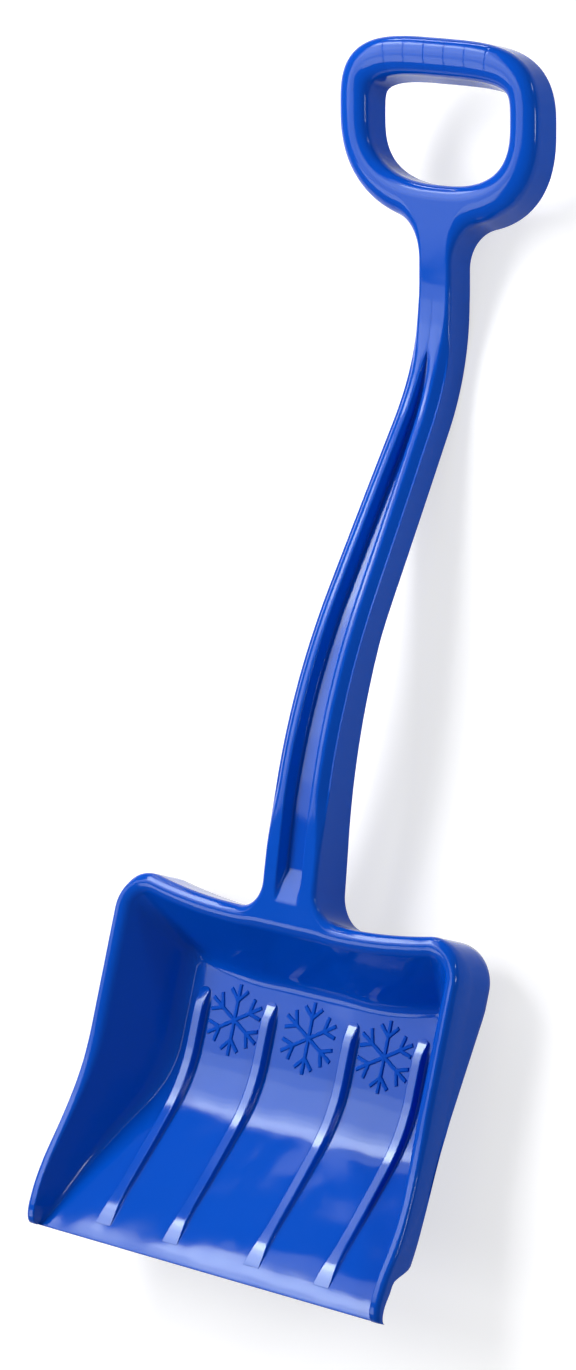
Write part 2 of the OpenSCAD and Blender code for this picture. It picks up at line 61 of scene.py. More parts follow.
class Side(Enum):
    """The two mirrored sides of the shovel."""

    LEFT = -1
    RIGHT = 1


def clamp01(u: Array) -> Array:
    """Values held between 0 and 1."""
    return np.clip(u, 0.0, 1.0)


def ramp(u: Array) -> Array:
    """Integral of a slope that grows from 0 to 1 as u does: a parabola, then a straight line."""
    u = np.asarray(u, dtype=float)
    return np.where(u <= 0, 0.0, np.where(u >= 1, u - 0.5, u * u / 2))


def turned(s: Array, start: float, run: float) -> Array:
    """Rise of a slope of 1 towards the lip that begins at start and grows over the run."""
    return run * ramp((start - s) / run)


def ease(u: Array) -> Array:
    """Smooth step from 0 to 1 with level ends."""
    v = clamp01(u)
    return v * v * (3 - 2 * v)


def mix(a: Array, b: Array, q: Array) -> Array:
    """Straight blend from a at q 0 to b at q 1."""
    return a + (b - a) * q


def graded(n: int) -> Array:
    """Values from 0 to 1 whose first and last steps are very short, so that seams don't show.

    Args:
        n: number of steps between the short ones.

    Returns:
        The values, in rising order.
    """
    near = np.array([0.0, 0.08, 0.35]) / n
    return np.concatenate([near, np.linspace(0.0, 1.0, n + 1)[1:-1], 1 - near[::-1]])


def row(a: float, b: float, n: int) -> Array:
    """One row of n even values from a to b."""
    return np.linspace(a, b, n)[None, :]


def runs(*stops: tuple[float, int]) -> Array:
    """Even values through several stretches.

    Args:
        stops: where each stretch ends and how many values it has, both ends counted. The first
            stop is where the values start.

    Returns:
        The values without the first one, so that they can follow others.
    """
    ends = zip(stops, stops[1:])
    return np.concatenate([np.linspace(a, b, n)[1:] for (a, _), (b, n) in ends])


def bezier(a: Array, b: Array, c: Array, n: int) -> Array:
    """Rounded corner: the quadratic curve from a towards the corner b and on to c.

    Args:
        a: points where the rounding starts, as an array whose last axis is the coordinates.
        b: the corners.
        c: points where it ends.
        n: number of points along each curve.

    Returns:
        An array with one more axis, before the coordinates, that runs along the curve.
    """
    u = np.linspace(0.0, 1.0, n)[:, None]
    a, b, c = (np.asarray(p)[..., None, :] for p in (a, b, c))
    return (1 - u) ** 2 * a + 2 * u * (1 - u) * b + u * u * c


def arch(turn: Array, power: Array) -> tuple[Array, Array]:
    """Quarter of a superellipse from crest to side. Power 2 is an ellipse, more a flatter crest.

    Args:
        turn: angles from 0 at the crest to a right angle at the side.
        power: the superellipse's power.

    Returns:
        Distances from the middle as shares of the width, and drops as shares of the depth.
    """
    return np.sin(turn) ** (2 / power), 1 - np.cos(turn) ** (2 / power)


def pair(a: Array, b: Array) -> Array:
    """Points from two columns of coordinates, one point to a row."""
    return np.concatenate(np.broadcast_arrays(a, b), axis=-1)


def joined(*parts: Array) -> Array:
    """Grids side by side, each station's points one after the other."""
    return np.concatenate(parts, axis=1)


def points_of(*values: Array) -> Array:
    """Points from one array for each coordinate."""
    return np.stack(np.broadcast_arrays(*values), axis=-1)


def flank(lean: Array, top: Array, low: Array, wall: float, soft: float,
          counts: tuple[int, int] = (8, 7)) -> tuple[Array, Array]:
    """A drafted side and its rounded lower edge, from the outside of the wall to its inside.

    Args:
        lean: how far the side runs out.
        top: depth where it starts.
        low: depth where the rounding starts.
        wall: thickness of the wall.
        soft: height of the rounding.
        counts: points along the side, its ends counted, and round the edge.

    Returns:
        Distances out and depths.
    """
    side, turn = row(0, 1, counts[0])[:, 1:-1], row(0, np.pi, counts[1])
    out = joined(lean * side, lean + wall / 2 * (np.cos(turn) - 1))
    return out, joined(mix(top, low, side), low + soft * np.sin(turn))


def columns(table: Array) -> list[Array]:
    """The columns of a table of stations, each of shape (stations, 1)."""
    return [table[:, k:k + 1] for k in range(table.shape[1])]


def mirrored(points: Array) -> Array:
    """The points mirrored in x and taken in the opposite order along their second axis."""
    return points[:, ::-1] * np.array([-1.0, 1.0, 1.0])


@dataclass(frozen=True)
class ShovelForm:
    """The shovel's sizes, in millimetres and degrees, and the curves that all pieces share.

    A name that ends in _s is a distance from the lip, one in _run the stretch of a change.
    """

    length: float = 663.0
    wall: float = 2.6
    # The scoop's floor, lip and walls.
    lip_w: float = 240.0
    scoop_len: float = 194.0
    rim_h: float = 43.0
    floor_tilt: float = 30.0
    flat_len: float = 37.5
    bend_len: float = 40.0
    hollow: float = 0.06
    hollow_len: float = 48.0
    side_lean: float = 0.66
    back_run: float = 35.5
    back_bow: float = 6.0
    foot_r: float = 5.0
    rim_corner_r: float = 15.0
    lip_len: float = 10.0
    lip_thin: float = 0.55
    lip_ease: float = 0.11
    lip_ease_s: float = 24.0
    lip_ease_run: float = 16.0
    lip_tip: float = 0.08
    lip_tip_s: float = 8.0
    lip_tip_run: float = 7.0
    # The rim's crest and roll, and the skirt below it.
    rim_rise: float = 0.3
    rim_turn_s: float = 104.0
    rim_turn_run: float = 60.0
    rim_sag: float = 0.2
    rim_sag_s: float = 30.0
    rim_sag_run: float = 16.0
    rim_in: float = 0.5
    rim_taper: float = 6.7
    taper_s: float = 35.0
    taper_run: float = 75.0
    corner_s: float = 12.0
    corner_h: float = 1.2
    roll_s: float = 10.0
    roll_run: float = 90.0
    roll_r: float = 4.5
    roll_r_lip: float = 1.8
    roll_land: float = 3.0
    roll_land_lip: float = 0.5
    flat_w: float = 2.2
    flat_s: float = 125.0
    flat_run: float = 60.0
    skirt_z: float = 17.0
    skirt_rise: float = 0.18
    skirt_level_s: float = 165.0
    skirt_s: float = 21.0
    skirt_run: float = 10.0
    edge_h: float = 6.5
    edge_h_lip: float = 0.6
    edge_h_run: float = 16.0
    draft: float = 4.0
    undercut: float = 1.5
    # The shaft and its groove.
    shaft_w: float = 37.0
    neck_w: float = 22.0
    shaft_d: float = 17.8
    root_r: float = 16.0
    root_len: float = 14.0
    fall: float = 13.5
    rise: float = 18.3
    bulge_at: float = 302.0
    bulge_w: float = 130.0
    dip_top: float = 163.0
    dip_w: float = 77.0
    slim_s: float = 225.0
    slim_power: float = 1.6
    edge_r: float = 3.0
    edge_w: float = 5.7
    edge_d: float = 3.9
    edge_run_low: float = 40.0
    edge_run_top: float = 45.0
    groove_w: float = 8.1
    groove_w_tip: float = 0.4
    groove_d: float = 6.2
    groove_d_least: float = 0.05
    groove_deepens: float = 2.2
    groove_len: float = 245.0
    groove_start: float = 11.0
    groove_ramp: float = 17.5
    # The grip.
    grip_w: float = 115.0
    grip_h: float = 74.0
    grip_d: float = 18.6
    upper_share: float = 0.415
    bar_w: float = 11.2
    arch_w: float = 9.9
    arch_d: float = 8.0
    neck_len: float = 48.0
    neck_r: float = 24.0

    @property
    def lean(self) -> float:
        """Outward run of a drafted wall for each millimetre of depth."""
        return math.tan(math.radians(self.draft))

    def lean_at(self, ns: Array) -> Array:
        """A skirt's run for each millimetre of depth: drafted at the sides, undercut behind."""
        return self.lean * (1 - self.undercut * ns * ns)

    @cached_property
    def crest_back(self) -> float:
        """Distance from the lip to the crest of the back rim."""
        skirt_off = (self.rim_h - self.roll_r - self.skirt_z) * self.lean
        return self.scoop_len - self.roll_land - self.roll_r - skirt_off

    @cached_property
    def foot_back(self) -> float:
        """Distance from the lip to the foot of the back wall."""
        return self.crest_back - self.back_run

    @cached_property
    def bend_b(self) -> float:
        """Distance from the lip to the end of the floor's bend."""
        return self.foot_back - self.flat_len

    @cached_property
    def bend_a(self) -> float:
        """Distance from the lip to the start of the floor's bend."""
        return self.bend_b - self.bend_len

    def floor_z(self, s: Array) -> Array:
        """Top of the floor: flat behind, a parabola in the bend, a slope, then a flatter lip.

        The slope itself grows a little towards the lip, by the share hollow about its mean.

        Args:
            s: distances from the lip.

        Returns:
            Heights of the same shape.
        """
        bend = (1 - self.hollow) * turned(s, self.bend_b, self.bend_len)
        more = 2 * self.hollow * turned(s, self.bend_a, self.hollow_len)
        flat = self.lip_ease * turned(s, self.lip_ease_s, self.lip_ease_run)
        tip = self.lip_tip * turned(s, self.lip_tip_s, self.lip_tip_run)
        return self.wall + math.tan(math.radians(self.floor_tilt)) * (bend + more) - flat - tip

    def floor_t(self, s: Array) -> Array:
        """Upright thickness of the floor, thinner towards the lip."""
        m = math.tan(math.radians(self.floor_tilt)) * clamp01((self.bend_b - s) / self.bend_len)
        return self.wall * np.sqrt(1 + m * m) * mix(self.lip_thin, 1.0, clamp01(s / self.lip_len))

    def rim_up(self, s: Array) -> Array:
        """Height of the rim's crest before its lip end is rounded off."""
        up = self.rim_rise * turned(s, self.rim_turn_s, self.rim_turn_run)
        return self.rim_h + up - self.rim_sag * turned(s, self.rim_sag_s, self.rim_sag_run)

    def rim_z(self, s: Array) -> Array:
        """Height of the rim's crest, falling to the lip along a quarter of an ellipse.

        Args:
            s: distances from the lip.

        Returns:
            Heights of the same shape.
        """
        corner_z = self.rim_up(0.0) - self.floor_z(0.0) - self.corner_h
        u = 1 - clamp01(s / self.corner_s)
        return self.rim_up(s) - corner_z * (1 - np.sqrt(1 - u * u))

    def roll_k(self, s: Array) -> Array:
        """How far the rim's roll has grown, from 0 at the lip to 1."""
        return clamp01((s - self.roll_s) / self.roll_run)

    def roll_at(self, s: Array) -> Array:
        """Radius of the rim's roll."""
        return mix(self.roll_r_lip, self.roll_r, self.roll_k(s))

    def land_at(self, s: Array) -> Array:
        """Distance from the rim's crest line to the middle of its roll."""
        return mix(self.roll_land_lip, self.roll_land, self.roll_k(s))

    def flat_at(self, s: Array) -> Array:
        """Width of the level strip on top of the rim, which runs out towards the round back."""
        return self.flat_w * ease((self.flat_s - s) / self.flat_run)

    def crest_x(self, s: Array) -> Array:
        """Half width between the rim's crests."""
        taper = self.rim_taper * ease((s - self.taper_s) / self.taper_run)
        return self.lip_w / 2 - self.rim_in - taper

    def skirt_low(self, s: Array) -> Array:
        """Height of the skirt's lower edge: a low flange at the lip, then down to the skirt.

        Args:
            s: distances from the lip.

        Returns:
            Heights of the same shape.
        """
        low = self.skirt_z + self.skirt_rise * np.maximum(0.0, self.skirt_level_s - s)
        edge = self.edge_h * mix(self.edge_h_lip, 1.0, clamp01(s / self.edge_h_run))
        return mix(self.rim_z(s) - edge, low, ease((s - self.skirt_s) / self.skirt_run))

    @property
    def root_x(self) -> float:
        """Half width of the shaft's flared root."""
        return self.shaft_w / 2 + self.root_r

    @property
    def root_s(self) -> float:
        """Distance from the lip to the start of the shaft."""
        return self.crest_back + self.roll_land

    @property
    def flare_s(self) -> float:
        """Distance from the lip to the end of the root's fillets."""
        return self.root_s + self.roll_r + self.root_r

    @property
    def join_s(self) -> float:
        """Distance from the lip to the seam between root and shaft."""
        return self.flare_s + self.root_len

    @property
    def dip_at(self) -> float:
        """Distance from the lip to the shaft's dip."""
        return self.length - self.dip_top

    @cached_property
    def slopes(self) -> Triple:
        """Slopes of the shaft's front.

        Returns:
            The slope at the root, in the falling stretch and in the rising one.
        """
        down, up = -math.tan(math.radians(self.fall)), math.tan(math.radians(self.rise))
        dip_z = self.shaft_d + down * self.dip_w / 2 * up / (up - down)
        bulge_z = dip_z + down * (self.bulge_at - self.dip_at)
        return (bulge_z - self.rim_h) / (self.bulge_at - self.root_s), down, up

    def front_z(self, s: Array) -> Array:
        """Front line of shaft and grip: three straight stretches joined by parabolas.

        Args:
            s: distances from the lip.

        Returns:
            Heights of the same shape.
        """
        root, down, up = self.slopes
        bulge = ramp((s - self.bulge_at + self.bulge_w / 2) / self.bulge_w)
        dip = ramp((s - self.dip_at + self.dip_w / 2) / self.dip_w)
        return (self.rim_h + root * (s - self.root_s) + (down - root) * self.bulge_w * bulge
                + (up - down) * self.dip_w * dip)

    def depth(self, s: Array) -> Array:
        """Depth of the shaft, from the skirt's height at the scoop to its own."""
        deep, more = self.dip_at - 2 * self.dip_w, self.rim_h - self.skirt_z - self.shaft_d
        return self.shaft_d + more * clamp01((deep - s) / (deep - self.root_s))

    @property
    def ring_top(self) -> float:
        """Distance from the lip to the crest of the grip's top bar."""
        return self.length - self.bar_w

    @property
    def ring_up(self) -> float:
        """Height of the ring's upper half."""
        return self.grip_h * self.upper_share

    @property
    def ring_mid(self) -> float:
        """Distance from the lip to the widest place of the ring."""
        return self.ring_top - self.ring_up

    @property
    def neck_s(self) -> float:
        """Distance from the lip to the seam between shaft and neck."""
        return self.ring_top - self.grip_h - self.neck_len

    def shaft_x(self, s: Array) -> Array:
        """Half width of the shaft's front."""
        u = clamp01((s - self.slim_s) / (self.neck_s - self.slim_s))
        return mix(self.shaft_w, self.neck_w, u ** self.slim_power) / 2

    def edge_k(self, s: Array) -> Array:
        """How far the shaft's front edges are sloped rather than round, 0 at both ends."""
        top = ease((self.neck_s - s) / self.edge_run_top)
        return ease((s - self.join_s) / self.edge_run_low) * top

    def groove(self, s: Array) -> tuple[Array, Array]:
        """The front groove: a point at the dip, and a ramp at its lower end.

        Args:
            s: distances from the lip.

        Returns:
            Half widths and depths.
        """
        k = np.sqrt(clamp01((self.dip_at - s) / self.groove_len))
        low = clamp01((s - self.root_s - self.groove_start) / self.groove_ramp)
        deep = self.groove_d * np.minimum(clamp01(self.groove_deepens * k), low)
        return self.groove_w_tip + self.groove_w * k, np.maximum(self.groove_d_least, deep)


def placed(form: ShovelForm, x: Array, s: Array, z: Array) -> Array:
    """Points in the part's frame, in millimetres, from x, distance from the lip and height."""
    return points_of(x, s - form.length / 2, z)


def loft(rings: Array, closed: bool = False) -> tuple[Array, list[list[int]]]:
    """Closed skin over rings: four-sided faces from ring to ring, and a face on each end.

    Args:
        rings: array of shape (rings, points, 3).
        closed: whether the last ring runs on into the first one, with no end faces.

    Returns:
        The points and the faces, turned so that they point outwards.
    """
    n, m, _ = rings.shape
    i = np.arange(n if closed else n - 1)[:, None]
    j = np.arange(m)[None, :]
    k, l = (j + 1) % m, (i + 1) % n
    quads = np.stack([i * m + j, i * m + k, l * m + k, l * m + j], axis=-1).reshape(-1, 4)
    points = rings.reshape(-1, 3)
    a, b, c, d = (points[quads[:, q]] for q in range(4))
    inward = np.sum(np.cross(a, b) * c + np.cross(a, c) * d) < 0
    ends = [] if closed else [list(range(m))[::-1], list(range((n - 1) * m, n * m))]
    faces = quads.tolist() + ends
    return points, [f[::-1] for f in faces] if inward else faces


def make_piece(name: str, points: Array, faces: list[list[int]]) -> bpy.types.Object:
    """Makes a mesh object at the origin, smooth but for its sharp edges.

    Args:
        name: name of the piece.
        points: points in millimetres, in the part's frame.
        faces: faces as lists of point numbers.

    Returns:
        The new object.
    """
    mesh = bpy.data.meshes.new(name)
    mesh.from_pydata((points * MM).tolist(), [], faces)
    mesh.polygons.foreach_set("use_smooth", np.ones(len(mesh.polygons), dtype=bool))
    mesh.set_sharp_from_angle(angle=SHARP)
    mesh.update()
    piece = bpy.data.objects.new(name, mesh)
    bpy.context.scene.collection.objects.link(piece)
    return piece


class Nodes:
    """Short hand for the node tree of a material or world."""

    def __init__(self, tree: bpy.types.NodeTree) -> None:
        """Starts an empty tree."""
        self.tree = tree
        tree.nodes.clear()

    def add(self, kind: str, inputs: dict[str | int, object] | None = None,
            **values: object) -> bpy.types.Node:
        """Adds a node.

        Args:
            kind: the node's type name.
            inputs: what goes into its inputs, by name or number: a value, or an output to link.
            values: properties to set on it by name.

        Returns:
            The new node.
        """
        node = self.tree.nodes.new(kind)
        for name, value in values.items():
            setattr(node, name, value)
        for name, value in (inputs or {}).items():
            if isinstance(value, Socket):
                self.tree.links.new(value, node.inputs[name])
            else:
                node.inputs[name].default_value = value
        return node

    def noise(self, where: Socket, scale: float, detail: float) -> Socket:
        """Adds a noise pattern.

        Args:
            where: the coordinates that it lies on.
            scale: how many of its waves go into a metre.
            detail: how many finer waves are laid over them.

        Returns:
            Its value output.
        """
        inputs = {"Scale": scale, "Detail": detail, "Vector": where}
        return self.add("ShaderNodeTexNoise", inputs).outputs["Fac"]

    def bump(self, height: Socket, size: float, under: Socket | None = None) -> Socket:
        """Adds a relief.

        Args:
            height: the pattern of its heights.
            size: its full height, in metres.
            under: normal output of a relief that it lies on.

        Returns:
            Its normal output.
        """
        inputs = {"Strength": 1.0, "Distance": size, "Height": height}
        below = {} if under is None else {"Normal": under}
        return self.add("ShaderNodeBump", inputs | below).outputs["Normal"]


@dataclass(frozen=True)
class GlossPlastic:
    """Glossy moulded polypropylene, coloured all through, with uneven gloss and a wavy skin.

    Attributes:
        name: name of the material.
        deep: colour where the pigment is densest.
        light: colour where it is thinnest.
        shine: strength of the mirror image in it, 0.5 being that of a plain clear skin.
        tint: colour of that image.
        ior: index of refraction.
        gloss: lowest and highest roughness.
        gloss_noise: values of the noise between which the roughness changes.
        wave: height, in metres, of the slow waves that cooling leaves in the skin.
        grain: height, in metres, of the fine grain of the mould.
        tone_waves, gloss_waves, slow_waves, grain_waves: scale and detail of the noise behind
            the colour, the gloss, the slow waves and the grain.
    """

    name: str
    deep: Triple = (0.0, 0.062, 0.45)
    light: Triple = (0.0, 0.073, 0.51)
    shine: float = 0.2
    tint: Triple = (0.84, 0.98, 1.0)
    ior: float = 1.46
    gloss: tuple[float, float] = (0.06, 0.10)
    gloss_noise: tuple[float, float] = (0.3, 0.7)
    wave: float = 0.0002
    grain: float = 0.000004
    tone_waves: tuple[float, float] = (11.0, 3.0)
    gloss_waves: tuple[float, float] = (70.0, 4.0)
    slow_waves: tuple[float, float] = (30.0, 1.0)
    grain_waves: tuple[float, float] = (1500.0, 2.0)

    def material(self) -> bpy.types.Material:
        """Makes the material, or returns it if it is there already.

        Returns:
            The material.
        """
        found = bpy.data.materials.get(self.name)
        if found is not None:
            return found
        material = bpy.data.materials.new(self.name)
        material.use_nodes = True
        nodes = Nodes(material.node_tree)
        where = nodes.add("ShaderNodeTexCoord").outputs["Object"]
        tone = nodes.add("ShaderNodeMix", data_type="RGBA", inputs={
            "A": (*self.deep, 1.0), "B": (*self.light, 1.0),
            "Factor": nodes.noise(where, *self.tone_waves)})
        gloss = nodes.add("ShaderNodeMapRange", {
            "From Min": self.gloss_noise[0], "From Max": self.gloss_noise[1],
            "To Min": self.gloss[0], "To Max": self.gloss[1],
            "Value": nodes.noise(where, *self.gloss_waves)})
        slow = nodes.bump(nodes.noise(where, *self.slow_waves), self.wave)
        fine = nodes.bump(nodes.noise(where, *self.grain_waves), self.grain, slow)
        shader = nodes.add("ShaderNodeBsdfPrincipled", {
            "IOR": self.ior, "Specular IOR Level": self.shine, "Specular Tint": (*self.tint, 1.0),
            "Base Color": tone.outputs["Result"], "Roughness": gloss.outputs["Result"],
            "Normal": fine})
        nodes.add("ShaderNodeOutputMaterial", {"Surface": shader.outputs["BSDF"]})
        return material


GLOSS = GlossPlastic("blue_gloss_plastic")
WAVY = GlossPlastic("blue_wavy_plastic", wave=0.0007)
RIBBED = GlossPlastic("blue_rib_plastic", shine=0.42, wave=0.0001)
EMBOSSED = GlossPlastic("blue_embossed_plastic", shine=0.05, gloss=(0.50, 0.60), wave=0.00005,
                        grain=0.00001)


def dress(piece: bpy.types.Object, finish: GlossPlastic, nodes: Sequence[str]) -> bpy.types.Object:
    """Gives a new piece its finish, lets it ride on the body and stand for its nodes.

    Args:
        piece: the piece.
        finish: its finish.
        nodes: names of the nodes that it stands for.

    Returns:
        The same piece.
    """
    piece.data.materials.append(finish.material())
    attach(piece, "root")
    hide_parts(*nodes)
    LOG.info("%s: %d faces", piece.name, len(piece.data.polygons))
    return piece


def moulded(node: str, rings: Array, finish: GlossPlastic = GLOSS,
            closed: bool = False) -> bpy.types.Object:
    """Makes and dresses the piece that stands for one node.

    Args:
        node: name of the node.
        rings: its sections, as loft takes them.
        finish: its finish.
        closed: whether the sections run round in a ring.

    Returns:
        The piece.
    """
    return dress(make_piece("moulded_" + node, *loft(rings, closed)), finish, [node])


@dataclass
class Scoop:
    """The scoop: bent floor with its lip, wall with rolled rim, skirts, floor ribs and snowflakes.

    Lengths are in millimetres and angles in degrees. Names end as in ShovelForm.
    """

    form: ShovelForm
    # Slope of the wall where the rim's roll takes over, and share of its run in the foot's fillet.
    wall_steep: float = 58.0
    fillet: float = 0.3
    # How much farther in a side wall's foot is than its lean alone puts it.
    foot_in: float = 1.0
    # Least radii of the rim's inner arc, above and below, and rounding of the skirt's lower edge.
    least_r: float = 1.0
    least_inner_r: float = 0.4
    edge_round: float = 0.5
    # Outward slope of the back rim's top, and the stretch beside the root in which it fades out.
    back_fall: float = 20.5
    back_fade: float = 14.0
    # Height of the roll on the outside of the side rims, and where it grows.
    side_roll: float = 12.0
    side_roll_s: float = 30.0
    side_roll_run: float = 50.0
    # Length of the lip's rounding, and how round its end is.
    nose: float = 0.8
    blunt: float = 0.92
    # Spacing of the inner and of the outer pair of ribs, and a rib's width at the foot and height.
    rib_in: float = 57.0
    rib_out: float = 152.0
    rib_w: float = 7.0
    rib_h: float = 4.2
    # Distances of a rib's ends from the lip piece's seam and the back wall, and its tip's rounding.
    rib_start: float = 0.5
    rib_gap: float = 6.0
    rib_tip: float = 2.6
    # Limits of a rib's height: front end, slow rise after it, back end, and their soft minimum.
    rib_low: float = 0.25
    rib_rise: float = 0.15
    rib_mid: float = 2.1
    rib_mid_s: float = 20.0
    rib_mid_rise: float = 0.03
    back_slope: float = 0.38
    back_len: float = 14.0
    rib_power: float = 8.0
    # Narrowing of a rib at its tip and at its top, and the largest rounding of its edges.
    rib_taper: float = 0.6
    rib_draft: float = 0.5
    rib_soft: float = 0.8
    # How much wider a rib is on each side at the lip, and where that ends.
    flare: float = 1.7
    flare_s: float = 34.0
    flare_run: float = 24.0
    # Radius, arm width and height of a snowflake, and its distance from the back wall.
    flake_r: float = 19.6
    flake_w: float = 2.0
    flake_h: float = 0.8
    flake_gap: float = 0.8
    # Place and length of its branches as shares of the radius, and its rounded edge.
    branch_at: float = 0.55
    branch_len: float = 0.42
    flake_soft: float = 0.72
    flake_out: float = 0.12
    flake_turn: float = 80.0

    @cached_property
    def crest_s0(self) -> float:
        """Distance from the lip to the start of the rim's corners."""
        return self.form.crest_back + self.form.back_bow - self.form.rim_corner_r

    @cached_property
    def foot_s0(self) -> float:
        """Distance from the lip to the start of the floor's corners."""
        return self.form.foot_back + self.form.back_bow - self.form.foot_r

    def side_path(self, s: Array) -> Array:
        """Stations along a side wall, whose foot follows from its height and lean.

        Args:
            s: distances of the foot from the lip.

        Returns:
            Rows of foot x, foot s, crest x, crest s, outward x and outward s.
        """
        f = self.form
        c = s * self.crest_s0 / self.foot_s0
        foot = f.crest_x(c) - f.side_lean * (f.rim_z(c) - f.floor_z(s)) - self.foot_in
        return points_of(foot, s, f.crest_x(c), c, 1.0, 0.0)

    def back_path(self, corner_n: int, back_n: int) -> Array:
        """Stations round a back corner, which is an arc, and along half of the bowed back edge.

        Args:
            corner_n: number of stations in the corner.
            back_n: number along the back, up to the shaft's root.

        Returns:
            Rows as in side_path.
        """
        f = self.form
        wide = float(f.crest_x(np.array(f.length)))
        foot_wide = wide - f.side_lean * (f.rim_h - f.wall) - self.foot_in
        turn = math.degrees(math.atan(2 * f.back_bow / (wide - f.rim_corner_r - f.root_x)))
        a = np.radians(90 + turn) * np.arange(1, corner_n + 1) / corner_n
        cos, sin = np.cos(a), np.sin(a)
        corner = points_of(
            foot_wide - f.foot_r + f.foot_r * cos, self.foot_s0 + f.foot_r * sin,
            wide - f.rim_corner_r + f.rim_corner_r * cos, self.crest_s0 + f.rim_corner_r * sin,
            cos, sin)
        q = np.arange(1, back_n + 1) / back_n
        end, b, bow = corner[-1], np.radians(90 + turn * (1 - q)), (1 - q) ** 2
        back = points_of(
            mix(end[0], f.root_x, q), mix(f.foot_back, end[1], bow),
            mix(end[2], f.root_x, q), mix(f.crest_back, end[3], bow), np.cos(b), np.sin(b))
        return np.concatenate([corner, back])

    @cached_property
    def sides(self) -> Array:
        """Places of the side stations, close together at the lip and in the bend.

        Returns:
            Distances from the lip.
        """
        f = self.form
        lip = f.lip_len * (1 - np.cos(np.linspace(0, QUARTER, 16)))
        rest = runs((f.lip_len, 1), (self.flare_s, 14), (f.bend_a, 12), (f.bend_b, 26),
                    (self.foot_s0, 10))
        return np.concatenate([lip, rest])

    @cached_property
    def half_path(self) -> Array:
        """Stations from the right end of the lip to the shaft's root."""
        return np.concatenate([self.side_path(self.sides), self.back_path(26, 18)])

    @cached_property
    def full_path(self) -> Array:
        """Stations all round the scoop from the right end of the lip to the left one.

        Returns:
            Rows as in side_path.
        """
        x = np.linspace(self.form.root_x, 0, 13)[1:]
        last = self.half_path[-1]
        right = np.concatenate([self.half_path, points_of(x, last[1], x, last[3], 0.0, 1.0)])
        return np.concatenate([right, right[-2::-1] * np.tile(FLIP, 3)])

    def wall_rise(self, q: Array) -> Array:
        """Share of the wall's height: a parabola through the fillet, then a straight line."""
        return self.fillet * ramp(q / self.fillet) / (1 - self.fillet / 2)

    def wall_rings(self) -> Array:
        """Sections of the wall: up inside, over the rim's inner arc and level strip, back below.

        Returns:
            Array of shape (stations, points, 3).
        """
        f = self.form
        fx, fs, cx, cs, nx, ns = columns(self.full_path)
        steep = math.radians(self.wall_steep)
        tf, zc, flat = f.floor_t(fs), f.rim_z(cs), f.flat_at(cs)
        arc = f.land_at(cs) - flat
        r = np.maximum(self.least_r, f.roll_at(cs) + arc / math.sin(steep))
        bx, bs = cx + nx * arc, cs + ns * arc
        ex, es = bx - nx * r * math.sin(steep), bs - ns * r * math.sin(steep)
        run = np.hypot(ex - fx, es - fs)
        dx, ds = (ex - fx) / run, (es - fs) / run
        up = zc - r + r * math.cos(steep) - f.floor_z(es)
        q = graded(26)[None, :]
        tx, ts = mix(fx, ex, q), mix(fs, es, q)
        g, k = steep * (1 - graded(16)[None, 1:]), graded(3)[None, 1:]
        top = joined(
            points_of(tx, ts, f.floor_z(ts) + up * self.wall_rise(q)),
            points_of(bx - nx * r * np.sin(g), bs - ns * r * np.sin(g), zc - r + r * np.cos(g)),
            points_of(bx + nx * flat * k, bs + ns * flat * k, zc))
        ri, h = np.maximum(self.least_inner_r, r - f.wall), steep * row(0, 1, 7)
        q = row(1, 0, 16)[:, 1:]
        tx, ts = mix(fx, ex, q), mix(fs, es, q)
        slant = np.arctan(up * clamp01(q / self.fillet) / (1 - self.fillet / 2) / run)
        thick = mix(tf, f.wall, clamp01(q / self.fillet))
        z = f.floor_z(ts) + up * self.wall_rise(q) - thick * np.cos(slant)
        aside = f.wall * np.sin(slant)
        low = joined(
            points_of(bx + nx * flat, bs + ns * flat, zc - f.wall),
            points_of(bx - nx * ri * np.sin(h), bs - ns * ri * np.sin(h),
                      zc - f.wall - ri + ri * np.cos(h)),
            points_of(tx + dx * aside, ts + ds * aside, z))
        return self.leant_to_shaft(placed(f, *np.moveaxis(joined(top, low), -1, 0)))

    def leant_to_shaft(self, points: Array) -> Array:
        """Tips the rim in front of the shaft so that it runs on into the shaft's rising front.

        A point goes down by the front's slope times its distance from the shaft, fading out to
        the sides along the root's fillets and down the wall.

        Args:
            points: the wall's points, which are changed.

        Returns:
            The same points.
        """
        f = self.form
        s = points[..., 1] + f.length / 2
        near = ease((f.root_x - np.abs(points[..., 0])) / (f.root_x - f.shaft_w / 2))
        up = ease((s - f.foot_back) / (f.crest_back - f.foot_back))
        points[..., 2] -= f.slopes[0] * np.maximum(0.0, f.root_s - s) * near * up
        return points

    def back_roll(self) -> Array:
        """Outer half of the back rim's roll: a sloping flat between two roundings.

        Returns:
            Rows of distance out and of depth, as shares of the roll's radius, as many as the
            plain roll has.
        """
        fall = math.tan(math.radians(self.back_fall))
        a, b = np.array([0.12, 0.06 * fall]), np.array([0.56, 0.5 * fall])
        crest = bezier(np.zeros(2), np.array([0.06, 0.0]), a, 5)
        flat = mix(a, b, np.linspace(0, 1, 7)[1:-1, None])
        return np.concatenate([crest, flat, bezier(b, np.array([1.0, 0.94 * fall]), np.ones(2), 9)])

